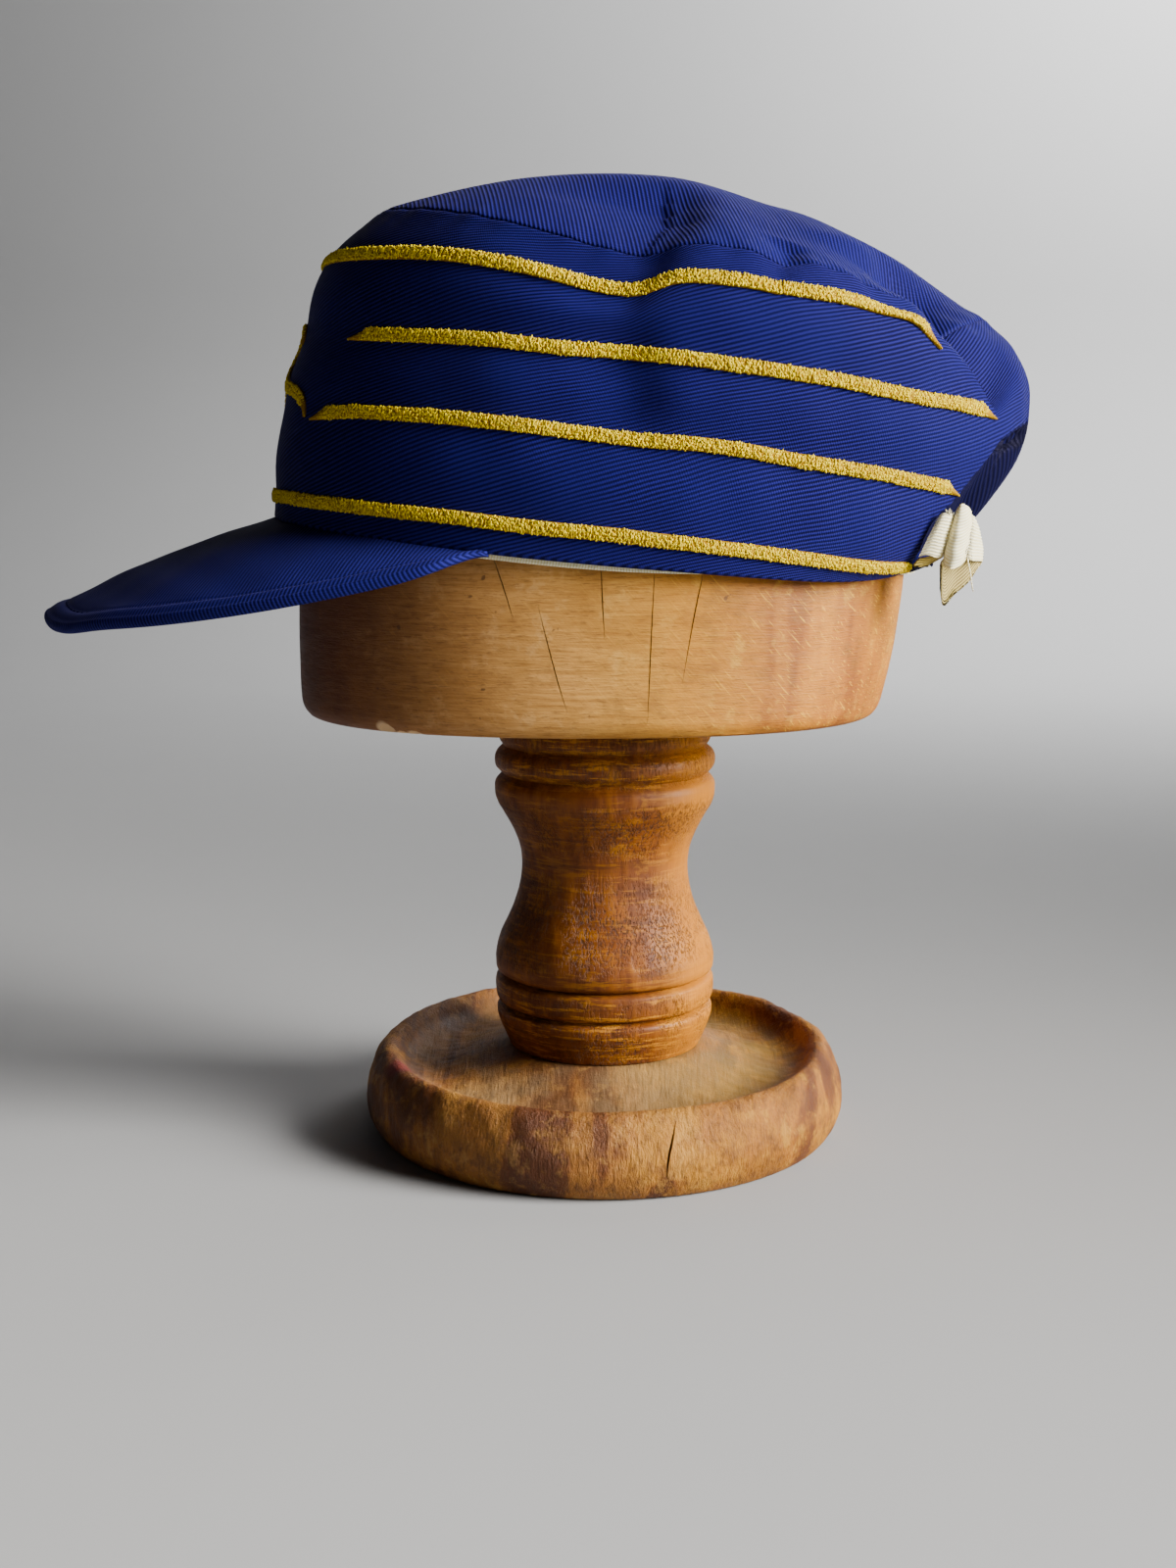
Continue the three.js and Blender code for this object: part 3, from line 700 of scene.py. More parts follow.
def foldedUnder(angle, level):  # how far the cloth stands out, or in past the fold
    degrees, past, off = pastFold(angle, level)
    crease = np.interp(degrees, fold["creaseDegrees"], fold["crease"])
    above = eased((level - crease) * 25, -0.4, 1.2)  # the shelf lies above the crease, the flap under it
    depth = fold["flap"] + (fold["shelf"] - fold["flap"]) * above
    side = 1 - eased(degrees, *fold["centre"])
    sunk = depth * eased(off, 0, fold["reach"]) * side * eased(level, 0.6, 1.3)
    lip = fold["lip"] * bell(off, fold["lipWide"]) * eased(level, 0.6, 1.4) * (1 - eased(level, 2.3, 2.9))
    return np.where(past, -sunk, 0) + lip


def shaped(angle, level):  # fuller at the top of the front, tighter at the back
    degrees = degreesRound(angle)
    full = swell["front"] * bell(degrees, swell["frontWide"]) * bell(level - swell["frontLevel"], 0.8)
    tight = swell["rear"] * eased(degrees, *swell["rearFrom"]) * bell(level - swell["rearLevel"], 1.0)
    foot = bell(degrees - swell["footAt"], swell["footWide"]) * bell(level - swell["footLevel"], 0.35)
    return full - tight - swell["foot"] * foot


def softened(places, amount):  # slack in the cloth, the same for every panel at the same place
    long = np.stack([unevenness(places, slack["long"], seed) for seed in (3, 4, 5)], axis=-1)
    short = np.stack([unevenness(places, slack["short"], seed) for seed in (6, 7, 8)], axis=-1)
    return places + (long * slack["longBy"] + short * slack["shortBy"]) * amount[..., None]


def puckers(arc, off):  # the stitches draw the cloth in along the seam
    uneven = np.sin(arc / 3.1 + 1.7 * np.sin(arc / 17)) * 0.5 + 0.5 * np.sin(arc / 1.9)
    loose = bell(arc - pucker["looseAt"], pucker["looseWide"])  # slacker towards the rear corner
    apart = 1 - bell(np.abs(arc) - ringRun[-1], pucker["joinWide"])  # both ends of the cloth meet behind
    wave = pucker["fine"] * uneven + loose * pucker["loose"] * np.sin(arc / 5.2)
    return bell(off, pucker["reach"]) * wave * apart


def outwards(places):  # level and away from the middle of the crown
    x = (places[..., 0] - crown["middle"]) / crown["long"] ** 2
    y = places[..., 1] / crown["half"] ** 2
    return unit(np.stack([x, y, 0 * y], axis=-1))


def seamWay(outward):
    return outward * 0.6 + np.array([0, 0, 0.8])


def crownSkin(angle, level):
    angle, level = np.broadcast_arrays(angle, level)
    plain = plainCrown(angle, level)
    degrees = np.abs(np.degrees(angle))
    low = hem["sag"] * bell(degrees - hem["sagAt"], hem["sagWide"]) * (1 - eased(level, 0.8, 2.2))
    low = low - hem["rise"] * bell(degrees - hem["riseAt"], hem["riseWide"]) * (1 - eased(level, 0, 1.6))
    plain = plain - low[..., None] * upward
    outward = outwards(plain)
    arc, high = arcAt(angle), heightAt(level)
    stripes = np.sin(np.pi * np.clip(level - 1, 0, 3)) ** 2  # the cloth fills out between the stripes
    stand = swell["betweenStripes"] * stripes + foldedUnder(angle, level) + shaped(angle, level)
    drawn = puckers(arc, high - crown["heights"][-1])[..., None] * seamWay(outward)
    soft = eased(high, 0, 14) * slackness(degrees)
    return softened(withFurrows(plain) + outward * stand[..., None] + drawn, soft)


def slackness(degrees):
    return slack["front"] + (1 - slack["front"]) * eased(degrees, *slack["frontTo"])


def onCrown(angle, level):  # place, outward and upward direction
    step = 2e-3
    turn = crownSkin(angle + step, level) - crownSkin(angle - step, level)
    rise = crownSkin(angle, level + step) - crownSkin(angle, level - step)
    return crownSkin(angle, level), unit(np.cross(turn, rise)), unit(rise)


def topSkin(angle, share):
    edge = onOval(crown["sections"][-1], angle)
    apex = crown["apex"]
    ahead = (1 + np.cos(angle)) / 2
    fullness = apex["rearFullness"] + (apex["frontFullness"] - apex["rearFullness"]) * ahead
    z = apex["z"] - (apex["z"] - edge[..., 2]) * share ** fullness
    flat = np.stack([apex["x"] + (edge[..., 0] - apex["x"]) * share, edge[..., 1] * share, z], axis=-1)
    outward = outwards(onOval(crown["sections"][-1], angle))
    drawn = puckers(arcAt(angle), (1 - share) * 80)[..., None] * seamWay(outward)
    edgeShape = shaped(angle, totalLevels + 0 * share) * eased(share, 0.75, 1)
    soft = slackness(np.abs(np.degrees(angle)) * share)
    return softened(withFurrows(flat) + outward * edgeShape[..., None] + drawn, soft)


def closerBehind(across):
    turns = np.linspace(-180, 180, 3601)
    run = np.cumsum(1 + closer["by"] * bell(np.abs(turns) - closer["at"], closer["wide"]))
    run = (run - run[0]) / (run[-1] - run[0])
    return np.radians(np.interp(across, run, turns))


def ventLevel(angle):  # where the cloth starts over the vent behind
    vent = crown["vent"]
    levels = np.linspace(0, 2.2, 60)
    places = plainCrown(angle[:, None], levels[None, :])
    y, z = places[..., 1], places[..., 2]
    arch = vent["foot"] + (vent["top"] - vent["foot"]) * np.clip(1 - (y / vent["half"]) ** 2, 0, 1) ** 0.8
    clear = (z >= arch) | (np.abs(y) > vent["half"]) | (places[..., 0] < 0)
    return levels[np.argmax(clear, axis=1)]


def weaveUp(angle, arc, level):  # up the cloth, as the weave runs: it is steep in the fold
    high = heightAt(level)
    steep = high * fold["weaveRise"] + fold["weaveLean"] * (np.abs(arc) - fold["weaveFrom"])
    return np.where(pastFold(angle, level)[1], steep, high)


def crownSide():  # up the outside, over the seam, down the inside and round the hem
    wall, rows, inside = crown["wall"], crown["outerRows"], crown["innerRows"]
    over = np.linspace(0, 1, crown["rollRows"])[1:-1]
    under = np.linspace(0, math.pi, crown["rollRows"] + 1)[1:]
    share = np.concatenate([
        np.linspace(0, 1, rows), 1 - 0.02 * over, np.linspace(0.98, 0, inside), 0 * under])
    depth = np.concatenate([
        np.zeros(rows), wall * over, np.full(inside, wall), wall * (1 + np.cos(under)) / 2])
    drop = np.concatenate([np.zeros(len(share) - len(under)), wall / 2 * np.sin(under)])

    def lay(across, up):
        angle = closerBehind(across)
        row = rowAt(up, share)
        lowest = ventLevel(angle)
        level = lowest + (totalLevels - lowest) * share[row]
        place, outward, rise = onCrown(angle, level)
        toSeam = heightAt(totalLevels) - heightAt(level)
        sunk = np.where(row < rows, 0.35 * bell(toSeam, 0.7), 0)
        down = drop[row] + crown["seamGap"] * (toSeam < 1e-6)
        place = place - outward * (depth[row] + sunk)[:, None] - rise * down[:, None]
        arc = np.where(across > 0.9999, ringRun[-1], arcAt(angle))
        weave = np.stack([arc, weaveUp(angle, arc, level)], axis=-1)
        # the hollow values say how much painted shade lies on the cloth past the fold
        return place, weave, {"hollow": paintedHollowShade(angle, level)}

    return laid("crownSide", crown["columns"], len(share) - 1, lay)


def crownTop():
    rows, wall = crown["topRows"], crown["wall"]
    outer = np.linspace(0, 1, rows) ** 0.8
    share = np.concatenate([outer, [0.99, 0.975], np.linspace(0.96, 0, 10)])
    depth = np.concatenate([np.zeros(rows), [0.9, 1.7], np.full(10, wall)])

    def lay(across, up):
        angle = (across * 2 - 1) * math.pi
        row = rowAt(up, share)
        sunk = np.where(row < rows, 0.45 * bell((1 - share[row]) * 80, 0.8), 0)
        place = topSkin(angle, share[row]) - upward * (depth[row] + sunk)[:, None]
        return place, place[:, :2]

    return laid("crownTop", crown["columns"], len(share) - 1, lay)


# raised stitching

stitch = {
    "size": (1.45, 0.64, 0.85), "pitch": 0.62, "rows": 5, "lean": 34, "lift": 0.8, "scallop": 1.3,
    "coreHeight": 0.975, "coreShadeTone": 0.12,
}


def stitched(name, angle, level, width, tip, lower=True, seed=1):
    # a low core along the route, covered with loops of thread; the tips narrow towards the lower edge
    dice = np.random.default_rng(seed)
    fine = np.linspace(0, 1, 3000)
    place, outward, _ = onCrown(np.interp(fine, np.linspace(0, 1, len(angle)), angle),
                                np.interp(fine, np.linspace(0, 1, len(level)), level))
    run = runAlong(place)
    whole = run[-1]

    def station(distance):
        def read(values):
            return np.stack([np.interp(distance, run, values[:, k]) for k in range(3)], axis=-1)

        middle, out = read(place), unit(read(outward))
        along = unit(read(np.gradient(place, run, axis=0)))
        across = np.cross(out, along)
        nearEnd = np.minimum(distance, whole - distance)
        taper = np.clip(nearEnd / tip, 0, 1) if tip else np.ones_like(distance)
        half = width / 2 * (0.12 + 0.88 * taper)
        middle = middle - across * ((width / 2 - half) * (0.8 if lower else 0))[:, None]
        return middle, out, along, across, half

    def lay(acrossShare, up):
        middle, out, _, across, half = station(np.clip(acrossShare, 0, 1) * whole)
        turn = up * 2 * math.pi
        side, rise = np.cos(turn), np.sin(turn)
        rise = np.where(rise < 0, rise * 0.15, rise)
        offset = across * (side * half * 0.9)[:, None] + out * (rise * stitch["coreHeight"])[:, None]
        return middle + offset, np.stack([acrossShare * whole, up * width], axis=-1)

    core = laid(name + "Core", max(12, int(whole / 1.6)), 10, lay)
    # painted shade: the low core takes the deepest gold, so the gaps between the loops look shaded
    toned(core, "tone", np.full(len(core.data.vertices), stitch["coreShadeTone"]))

    bpy.ops.object.select_all(action="DESELECT")
    bpy.ops.mesh.primitive_ico_sphere_add(subdivisions=1, radius=0.5)
    shape, faces = takenShape()
    steps = np.arange(0.3, whole - 0.2, stitch["pitch"])
    count = max(2, round(width / 5 * stitch["rows"]))
    distance = np.repeat(steps, count) + dice.uniform(-0.3, 0.3, len(steps) * count)
    lane = np.tile((np.arange(count) + 0.5) / count * 2 - 1, len(steps))
    lane = lane + dice.uniform(-0.14, 0.14, len(distance))
    middle, out, along, across, half = station(np.clip(distance, 0, whole))
    lane = lane + 0.07 * np.abs(lane) ** 4 * np.cos(2 * math.pi * distance / stitch["scallop"])
    lean = np.radians(dice.normal(0, stitch["lean"], len(distance)))[:, None]
    nod = dice.normal(0, 0.16, len(lean))[:, None]
    first = unit(across * np.cos(lean) + along * np.sin(lean) + out * nod)
    second = unit(np.cross(out, first))
    size = dice.uniform(0.85, 1.15, len(distance)) * np.clip(half / (width / 2), 0.5, 1)
    dome = np.sqrt(np.clip(1 - (lane * 0.85) ** 2, 0.1, 1))
    lift = stitch["lift"] * dome * (0.5 + 0.5 * size) + dice.uniform(-0.1, 0.15, len(size))
    centre = middle + across * (lane * np.maximum(half - 0.45, 0.1))[:, None] + out * lift[:, None]
    spread = sum(
        shape[None, :, k, None] * way[:, None] * stitch["size"][k]
        for k, way in enumerate((first, second, np.cross(first, second)))
    )
    corners = (centre[:, None] + spread * size[:, None, None]).reshape(-1, 3) * mm
    index = (np.array(faces)[None] + (np.arange(len(centre)) * len(shape))[:, None, None]).reshape(-1, 3)
    loops = solidFrom(name + "Loops", corners.tolist(), index.tolist())
    loops.data.shade_smooth()
    toned(loops, "tone", np.repeat(np.clip(dice.normal(0.75, 0.16, len(centre)), 0.2, 1), len(shape)))
    return joined(name, [core, loops])


# the peak

peak = {
    "root": 75, "side": -36, "tip": -181.5, "half": 89, "square": 2.1, "zTip": 174.5, "zSide": 197,
    "droop": 1.7, "swell": 2.2, "arch": 1.8, "tuck": 1.2, "thick": 3.2, "gap": 0.35, "taper": 0.75,
    "hem": 6.5, "stitch": 3.0, "stitchGap": 0.9, "stitchWide": 0.55, "stitchTall": 0.5,
    "roll": 0.7, "rollAt": 3, "rollWide": 2.6, "sewn": 0.55, "sewnWide": 0.6,  # raised edge, drawn-in seam
    "uneven": 0.25, "unevenLength": 22,
    "columns": 190, "topRows": 54, "noseRows": 8, "bottomRows": 18,
}


def peakEdges(turn):
    root = onOval(crown["sections"][0], turn * math.radians(peak["root"]))
    rim = crown["sections"][0]
    outline = (peak["tip"], 2 * peak["side"] - peak["tip"], peak["half"], *rim[3:])
    tip = onOval(outline, turn * math.pi / 2, peak["square"])
    back = (tip[..., 0] - peak["tip"]) / (peak["side"] - peak["tip"])
    tip[..., 2] = peak["zTip"] + (peak["zSide"] - peak["zTip"]) * back ** peak["droop"]
    tip[..., 2] += peak["arch"] * (bell(back, 0.035) - 0.7 * bell(back - 0.1, 0.07))
    level = unit((tip - root) * levelOnly)
    root = root - level * peak["tuck"] - upward * peak["gap"]
    tip = tip + (root - tip) * (peak["taper"] * eased(np.abs(turn), 0.94, 1.0))[..., None]
    return root, tip, level


def onPeak(turn, share):
    root, tip, level = peakEdges(turn)
    place = root + (tip - root) * share[..., None]
    place[..., 2] += peak["swell"] * np.sin(math.pi * share) * np.cos(turn * math.pi / 2)
    toEdge = (1 - share) * np.linalg.norm(tip - root, axis=-1)
    relief = peak["roll"] * bell(toEdge - peak["rollAt"], peak["rollWide"])
    relief = relief - peak["sewn"] * bell(toEdge - peak["hem"], peak["sewnWide"])
    relief = relief + peak["uneven"] * unevenness(place, peak["unevenLength"], 12) * eased(toEdge, 2, 12)
    return place, level, relief, toEdge


def peakCloth():  # out over the top, round the nose and back underneath
    top, nose, bottom = peak["topRows"], peak["noseRows"], peak["bottomRows"]
    bend = np.linspace(0, math.pi, nose + 2)[1:-1]
    share = np.concatenate([np.linspace(0, 1, top) ** 0.85, np.ones(nose), np.linspace(1, 0, bottom), [0]])
    side = np.concatenate([np.zeros(top), (1 - np.cos(bend)) / 2, np.ones(bottom), [0]])
    reach = np.concatenate([np.zeros(top), np.sin(bend), np.zeros(bottom + 1)])

    def lay(across, up):
        turn = across * 2 - 1
        row = rowAt(up, share)
        place, level, relief, _ = onPeak(turn, share[row])
        thick = peak["thick"] * (1 - peak["taper"] * eased(np.abs(turn), 0.9, 1.0))
        lift = relief * (1 - 2 * side[row]) - side[row] * thick
        place = place + level * (reach[row] * thick * 0.42)[:, None] + upward * lift[:, None]
        return place, place[:, :2] + np.array([0, 1]) * (side[row] * 3)[:, None]

    return laid("peakCloth", peak["columns"], len(share) - 1, lay)


def peakStitches():
    # a row of short stitches round the peak, inside its edge
    turns = np.linspace(-0.985, 0.985, 2400)
    root, tip, _ = peakEdges(turns)
    share = 1 - peak["hem"] / np.linalg.norm(tip - root, axis=-1)
    place, _, relief, _ = onPeak(turns, share)
    place[:, 2] += relief + 0.1
    run = runAlong(place)
    bpy.ops.object.select_all(action="DESELECT")
    bpy.ops.mesh.primitive_uv_sphere_add(segments=8, ring_count=6, radius=0.5)
    shape, faces = takenShape()
    corners, index = [], []
    for i, start in enumerate(np.arange(1, run[-1] - 4, peak["stitch"] + peak["stitchGap"])):
        ends = (start, start + peak["stitch"])
        a, b = (np.array([np.interp(end, run, place[:, k]) for k in range(3)]) for end in ends)
        along = unit(b - a)
        aside = unit(np.cross([0, 0, 1], along))
        ways = (along * (peak["stitch"] + 0.2), aside * peak["stitchWide"],
                np.cross(along, aside) * peak["stitchTall"])
        bit = (a + b) / 2 + sum(shape[:, k:k + 1] * way for k, way in enumerate(ways))
        index += [[v + i * len(shape) for v in face] for face in faces]
        corners += (bit * mm).tolist()
    piece = solidFrom("peakStitches", corners, index)
    piece.data.shade_smooth()
    return piece


# the sweatband

band = {
    "thick": 1.1, "level": 1.4, "reveal": 2.4, "inset": 2.7,
    "outerRows": 34, "innerRows": 10, "columns": 300,
}


def sweatband():
    outer, inner = band["outerRows"], band["innerRows"]
    share = np.concatenate([np.linspace(0, 1, outer), np.linspace(1, 0, inner), [0]])
    side = np.concatenate([np.zeros(outer), np.ones(inner), [0]])

    def lay(across, up):
        angle = (across * 2 - 1) * math.pi
        row = rowAt(up, share)

        def inside(level, depth):
            step = 1e-3
            place = plainCrown(angle, level)
            turn = plainCrown(angle + step, level) - plainCrown(angle - step, level)
            out = unit(np.cross(turn, [0, 0, 1]) * levelOnly)
            return place - out * depth[:, None]

        depth = band["inset"] + side[row] * band["thick"]
        foot, head = inside(0, depth), inside(band["level"], depth)
        head[:, :2] = np.sign(head[:, :2]) * np.minimum(np.abs(head[:, :2]), np.abs(foot[:, :2]))
        foot[:, 2] -= band["reveal"] * eased(np.cos(angle), -0.55, 0.1)
        place = foot + (head - foot) * share[row][:, None]
        arc = np.where(across > 0.9999, ringRun[-1], arcAt(angle))
        return place, np.stack([share[row] * 28, arc], axis=-1)

    return laid("sweatBand", band["columns"], len(share) - 1, lay)


# the ribbon's tied ends

tie = {"thick": 0.7, "ripple": 0.09, "crumple": 0.25}


def thread(line, radius):  # one thread through the places
    spans = len(line) - 1
    steps = curveThrough(np.array(line, dtype=float), np.linspace(0, spans, 4 * spans + 1))

    def lay(across, up):
        step = np.clip(np.rint(across * (len(steps) - 1)).astype(int), 0, len(steps) - 1)
        along = unit(np.gradient(steps, axis=0))[step]
        aside = unit(np.cross(along, [0.3, 0.9, 0.1]))
        end = np.where((step == 0) | (step == len(steps) - 1), 0.25, 1.0)
        turn = up * 2 * math.pi
        out = aside * np.cos(turn)[:, None] + np.cross(along, aside) * np.sin(turn)[:, None]
        return steps[step] + out * (radius * end)[:, None], np.stack([up, across * 8], axis=-1)

    return laid("thread", len(steps) - 1, 6, lay)


def ribbonPiece(name, stations, columns=44, rows=44, bulge=0.0, seed=1, aged=0.0):
    # stations run across the ribbon: each has the place of its foot and of its head
    feet = np.array([s[0] for s in stations], dtype=float)
    heads = np.array([s[1] for s in stations], dtype=float)

    def face(across, up):
        share = across * (len(stations) - 1)
        foot, head = curveThrough(feet, share), curveThrough(heads, share)
        return foot + (head - foot) * up[..., None]

    def lay(across, up):
        loop = up * 2
        back = loop > 1
        height = np.where(back, 2 - loop, loop)
        place = face(across, height)
        step = 0.01
        turn = face(np.clip(across + step, 0, 1), height) - face(np.clip(across - step, 0, 1), height)
        rise = face(across, height + step) - face(across, height - step)
        out = unit(np.cross(turn, rise))
        length = np.linalg.norm(face(across, np.ones_like(up)) - face(across, np.zeros_like(up)), axis=-1)
        wave = tie["ripple"] * np.cos(2 * math.pi * height * length / ribbonShades["rib"])
        lift = bulge * np.sin(math.pi * height) + tie["crumple"] * unevenness(place, 7, seed)
        sink = np.where(back, -tie["thick"] - wave, wave)
        place = place + out * (lift + sink)[:, None]
        return place, np.stack([across * 14, height * length], axis=-1), {"aged": np.full(len(up), aged)}

    return laid(name, columns, rows * 2, lay)


# the wooden block

block = {
    "sides": 180, "squareness": 2.25, "bands": 5, "uneven": ((60, 0.25), (14, 0.06)), "unevenFrom": 143,
    "sections": [  # front, rear, half width, height
        (-93.5, 84.0, 74.0, 142.0), (-95.6, 86.1, 76.1, 142.2), (-97.6, 88.0, 78.2, 143.2),
        (-99.2, 89.6, 79.8, 145.6), (-99.8, 90.8, 80.4, 150.0), (-99.9, 93.5, 80.5, 162.0),
        (-99.3, 97.3, 80.5, 188.0), (-97.0, 97.5, 79.5, 217.0), (-88.0, 94.0, 74.0, 247.0),
        (-74.0, 80.0, 62.0, 270.0), (-54.0, 58.0, 44.0, 288.0), (-30.0, 32.0, 24.0, 299.0),
        (-6.0, 8.0, 6.0, 302.0),
    ],
    "crackWidth": 0.55, "crackDepth": 2.6,
    "cracks": [  # along the near side, across and up
        [(-33.6, 197), (-30.2, 187), (-27.1, 177)],
        [(-20.1, 181.5), (-17.2, 170), (-14.2, 158.7), (-11.5, 150)],
        [(-1.9, 195), (-1.5, 183), (-0.8, 171.8)],
        [(13.7, 195), (12.9, 178), (12.2, 160), (11.7, 147)],
        [(28.1, 193), (25.4, 180), (21.8, 158.6)],
    ],
    "chips": [(-66, 143.6, 3.2), (-61, 142.6, 2.3), (-57, 142.6, 2.8)],  # across, up and size
}


def nearSideOf(x, z):  # where the block's near side is
    heights = [row[3] for row in block["sections"]]
    front, rear, half = (np.interp(z, heights, [row[k] for row in block["sections"]]) for k in range(3))
    middle, reach = (front + rear) / 2, (rear - front) / 2
    return -half * (1 - abs((x - middle) / reach) ** block["squareness"]) ** (1 / block["squareness"])


def hatBlock():
    # an oval is drawn up through the sections, each step moved and scaled from the last
    sections = np.array(block["sections"])
    spans = len(sections) - 1
    steps = curveThrough(sections, np.linspace(0, spans, spans * block["bands"] + 1))
    front, rear, half, height = steps[0]
    bpy.ops.object.select_all(action="DESELECT")
    bpy.ops.mesh.primitive_circle_add(vertices=block["sides"], radius=1, fill_type="NGON")
    piece = bpy.context.object
    piece.name = piece.data.name = "hatBlock"
    for corner in piece.data.vertices:
        ahead, aside = (signedPower(part, 2 / block["squareness"]) for part in corner.co[:2])
        corner.co = Vector(((front + rear) / 2 + (rear - front) / 2 * ahead, half * aside, height)) * mm
    bpy.ops.object.mode_set(mode="EDIT")
    bpy.ops.mesh.select_all(action="SELECT")
    for last, step in zip(steps, steps[1:]):
        moved = ((step[0] + step[1] - last[0] - last[1]) / 2, 0, step[3] - last[3])
        middle = Vector(((step[0] + step[1]) / 2, 0, step[3])) * mm
        bpy.ops.mesh.extrude_region_move(TRANSFORM_OT_translate={"value": Vector(moved) * mm})
        longer = (step[1] - step[0]) / (last[1] - last[0])
        bpy.ops.transform.resize(value=(longer, step[2] / last[2], 1), center_override=middle)
    bpy.ops.mesh.select_all(action="SELECT")
    bpy.ops.mesh.normals_make_consistent(inside=False)
    bpy.ops.object.mode_set(mode="OBJECT")
    at = cornersOf(piece)
    wobble = unevenBy(at, block["uneven"], 21) * (at[:, 2] > block["unevenFrom"])
    moveTo(piece, at + unit(at * levelOnly) * wobble[:, None])
    cutters = []
    for crack in block["cracks"]:
        line = curveThrough(np.array(crack, dtype=float), np.linspace(0, len(crack) - 1, 14))
        line = [(x, nearSideOf(x, z), z) for x, z in line]
        cutters.append(blade(line, block["crackWidth"], block["crackDepth"]))
    for x, z, size in block["chips"]:
        place = Vector((x, nearSideOf(x, z) - 0.2, z - 1.4)) * mm
        bpy.ops.mesh.primitive_ico_sphere_add(subdivisions=2, radius=size * mm, location=place)
        cutters.append(bpy.context.object)
    carve(piece, cutters)
    shadedByAngle(piece, 28)
    return piece


def shadedByAngle(piece, degrees):
    bpy.ops.object.select_all(action="DESELECT")
    piece.select_set(True)
    bpy.context.view_layer.objects.active = piece
    bpy.ops.object.shade_smooth_by_angle(angle=math.radians(degrees))


def carve(piece, cutters):
    for cutter in cutters:
        modifier = piece.modifiers.new("carve", "BOOLEAN")
        modifier.operation = "DIFFERENCE"
        modifier.solver = "EXACT"
        modifier.object = cutter
        bpy.context.view_layer.objects.active = piece
        bpy.ops.object.modifier_apply(modifier=modifier.name)
        bpy.data.objects.remove(cutter)


def blade(points, width, depth):
    # a thin wedge along a line of places on the near side, fading at both ends
    corners, faces = [], []
    for i, (x, y, z) in enumerate(points):
        half = width / 2 * max(math.sin(math.pi * (i + 0.4) / (len(points) - 0.2)), 0.2)
        for offset, sink in ((-half, -2), (half, -2), (half * 0.15, depth), (-half * 0.15, depth)):
            corners.append((Vector((x + offset, y + sink, z)) * mm)[:])
    for i in range(0, 4 * (len(points) - 1), 4):
        faces += [(i + 4 + k, i + 4 + (k + 1) % 4, i + (k + 1) % 4, i + k) for k in range(4)]
    last = 4 * (len(points) - 1)
    faces += [(0, 1, 2, 3), (last + 3, last + 2, last + 1, last)]
    return solidFrom("blade", corners, faces)


# turned wood

# runs of radius and height; the turner's tool leaves a sharp groove between runs
column = {"sides": 176, "uneven": ((18, 0.12), (5, 0.06)), "flatEnds": (29.2, 141.4), "runs": [
    [(32.4, 29.0), (34.0, 32.7), (35.7, 36.8), (36.5, 40.2), (36.2, 42.0), (34.0, 43.3)],
    [(34.0, 43.3), (36.2, 44.6), (36.9, 47.5), (36.9, 50.6), (36.5, 52.0), (34.3, 53.3)],
    [(34.3, 53.3), (36.4, 54.6), (36.9, 57.5), (36.6, 61.0), (35.2, 66.0), (32.6, 71.6), (30.2, 77.4),
     (28.6, 83.5), (27.9, 90.0), (28.6, 96.2), (31.0, 102.6), (34.0, 108.2)],
    [(34.0, 108.2), (36.0, 111.6), (36.8, 114.6), (36.6, 118.4), (34.2, 121.3)],
    [(34.2, 121.3), (36.4, 123.8), (36.8, 126.0), (36.2, 128.4), (33.9, 130.7)],
    [(33.9, 130.7), (35.3, 133.0), (35.2, 137.0), (34.6, 141.7)],
]}
base = {"sides": 300, "radius": 81.2, "warp": 0.07, "worn": ((34, 0.4), (11, 0.25), (5, 0.16)), "runs": [
    [(74.5, 0.0), (76.4, 0.5), (78.4, 2.8), (80.4, 7.0), (81.2, 12.0), (80.7, 17.0), (79.2, 21.8),
     (77.0, 25.8), (74.6, 28.0), (72.4, 28.3), (70.2, 26.8), (68.0, 24.2), (65.2, 22.2), (61.0, 21.2),
     (55.0, 21.6), (47.0, 23.6), (40.0, 26.2), (34.0, 28.5), (20.0, 28.6), (6.0, 28.6)],
], "crack": [(21.5, 26.5), (20.4, 21.5), (18.9, 15), (18.2, 8)], "crackWidth": 1.0, "crackDepth": 3.0,
    "crackRadius": 79.6}


def turned(name, shape):
    # a ring is drawn up the profile, each step lifted and scaled from the last
    profile = []
    for run in shape["runs"]:
        share = np.linspace(0, len(run) - 1, (len(run) - 1) * 5 + 1)
        profile += curveThrough(np.array(run, dtype=float), share).tolist()[1 if profile else 0:]
    bpy.ops.object.select_all(action="DESELECT")
    radius, height = profile[0]
    bpy.ops.mesh.primitive_circle_add(
        vertices=shape["sides"], radius=radius * mm, location=(0, 0, height * mm), fill_type="NGON")
    piece = bpy.context.object
    piece.name = piece.data.name = name
    bpy.ops.object.transform_apply(location=True, rotation=True, scale=True)
    bpy.ops.object.mode_set(mode="EDIT")
    bpy.ops.mesh.select_all(action="SELECT")
    for nextRadius, nextHeight in profile[1:]:
        rise = (0, 0, (nextHeight - height) * mm)
        bpy.ops.mesh.extrude_region_move(TRANSFORM_OT_translate={"value": rise})
        ratio = nextRadius / radius
        bpy.ops.transform.resize(value=(ratio, ratio, 1), center_override=(0, 0, nextHeight * mm))
        radius, height = nextRadius, nextHeight
    bpy.ops.mesh.select_all(action="SELECT")
    bpy.ops.mesh.normals_make_consistent(inside=False)
    bpy.ops.object.mode_set(mode="OBJECT")
    shadedByAngle(piece, 38)
    return piece


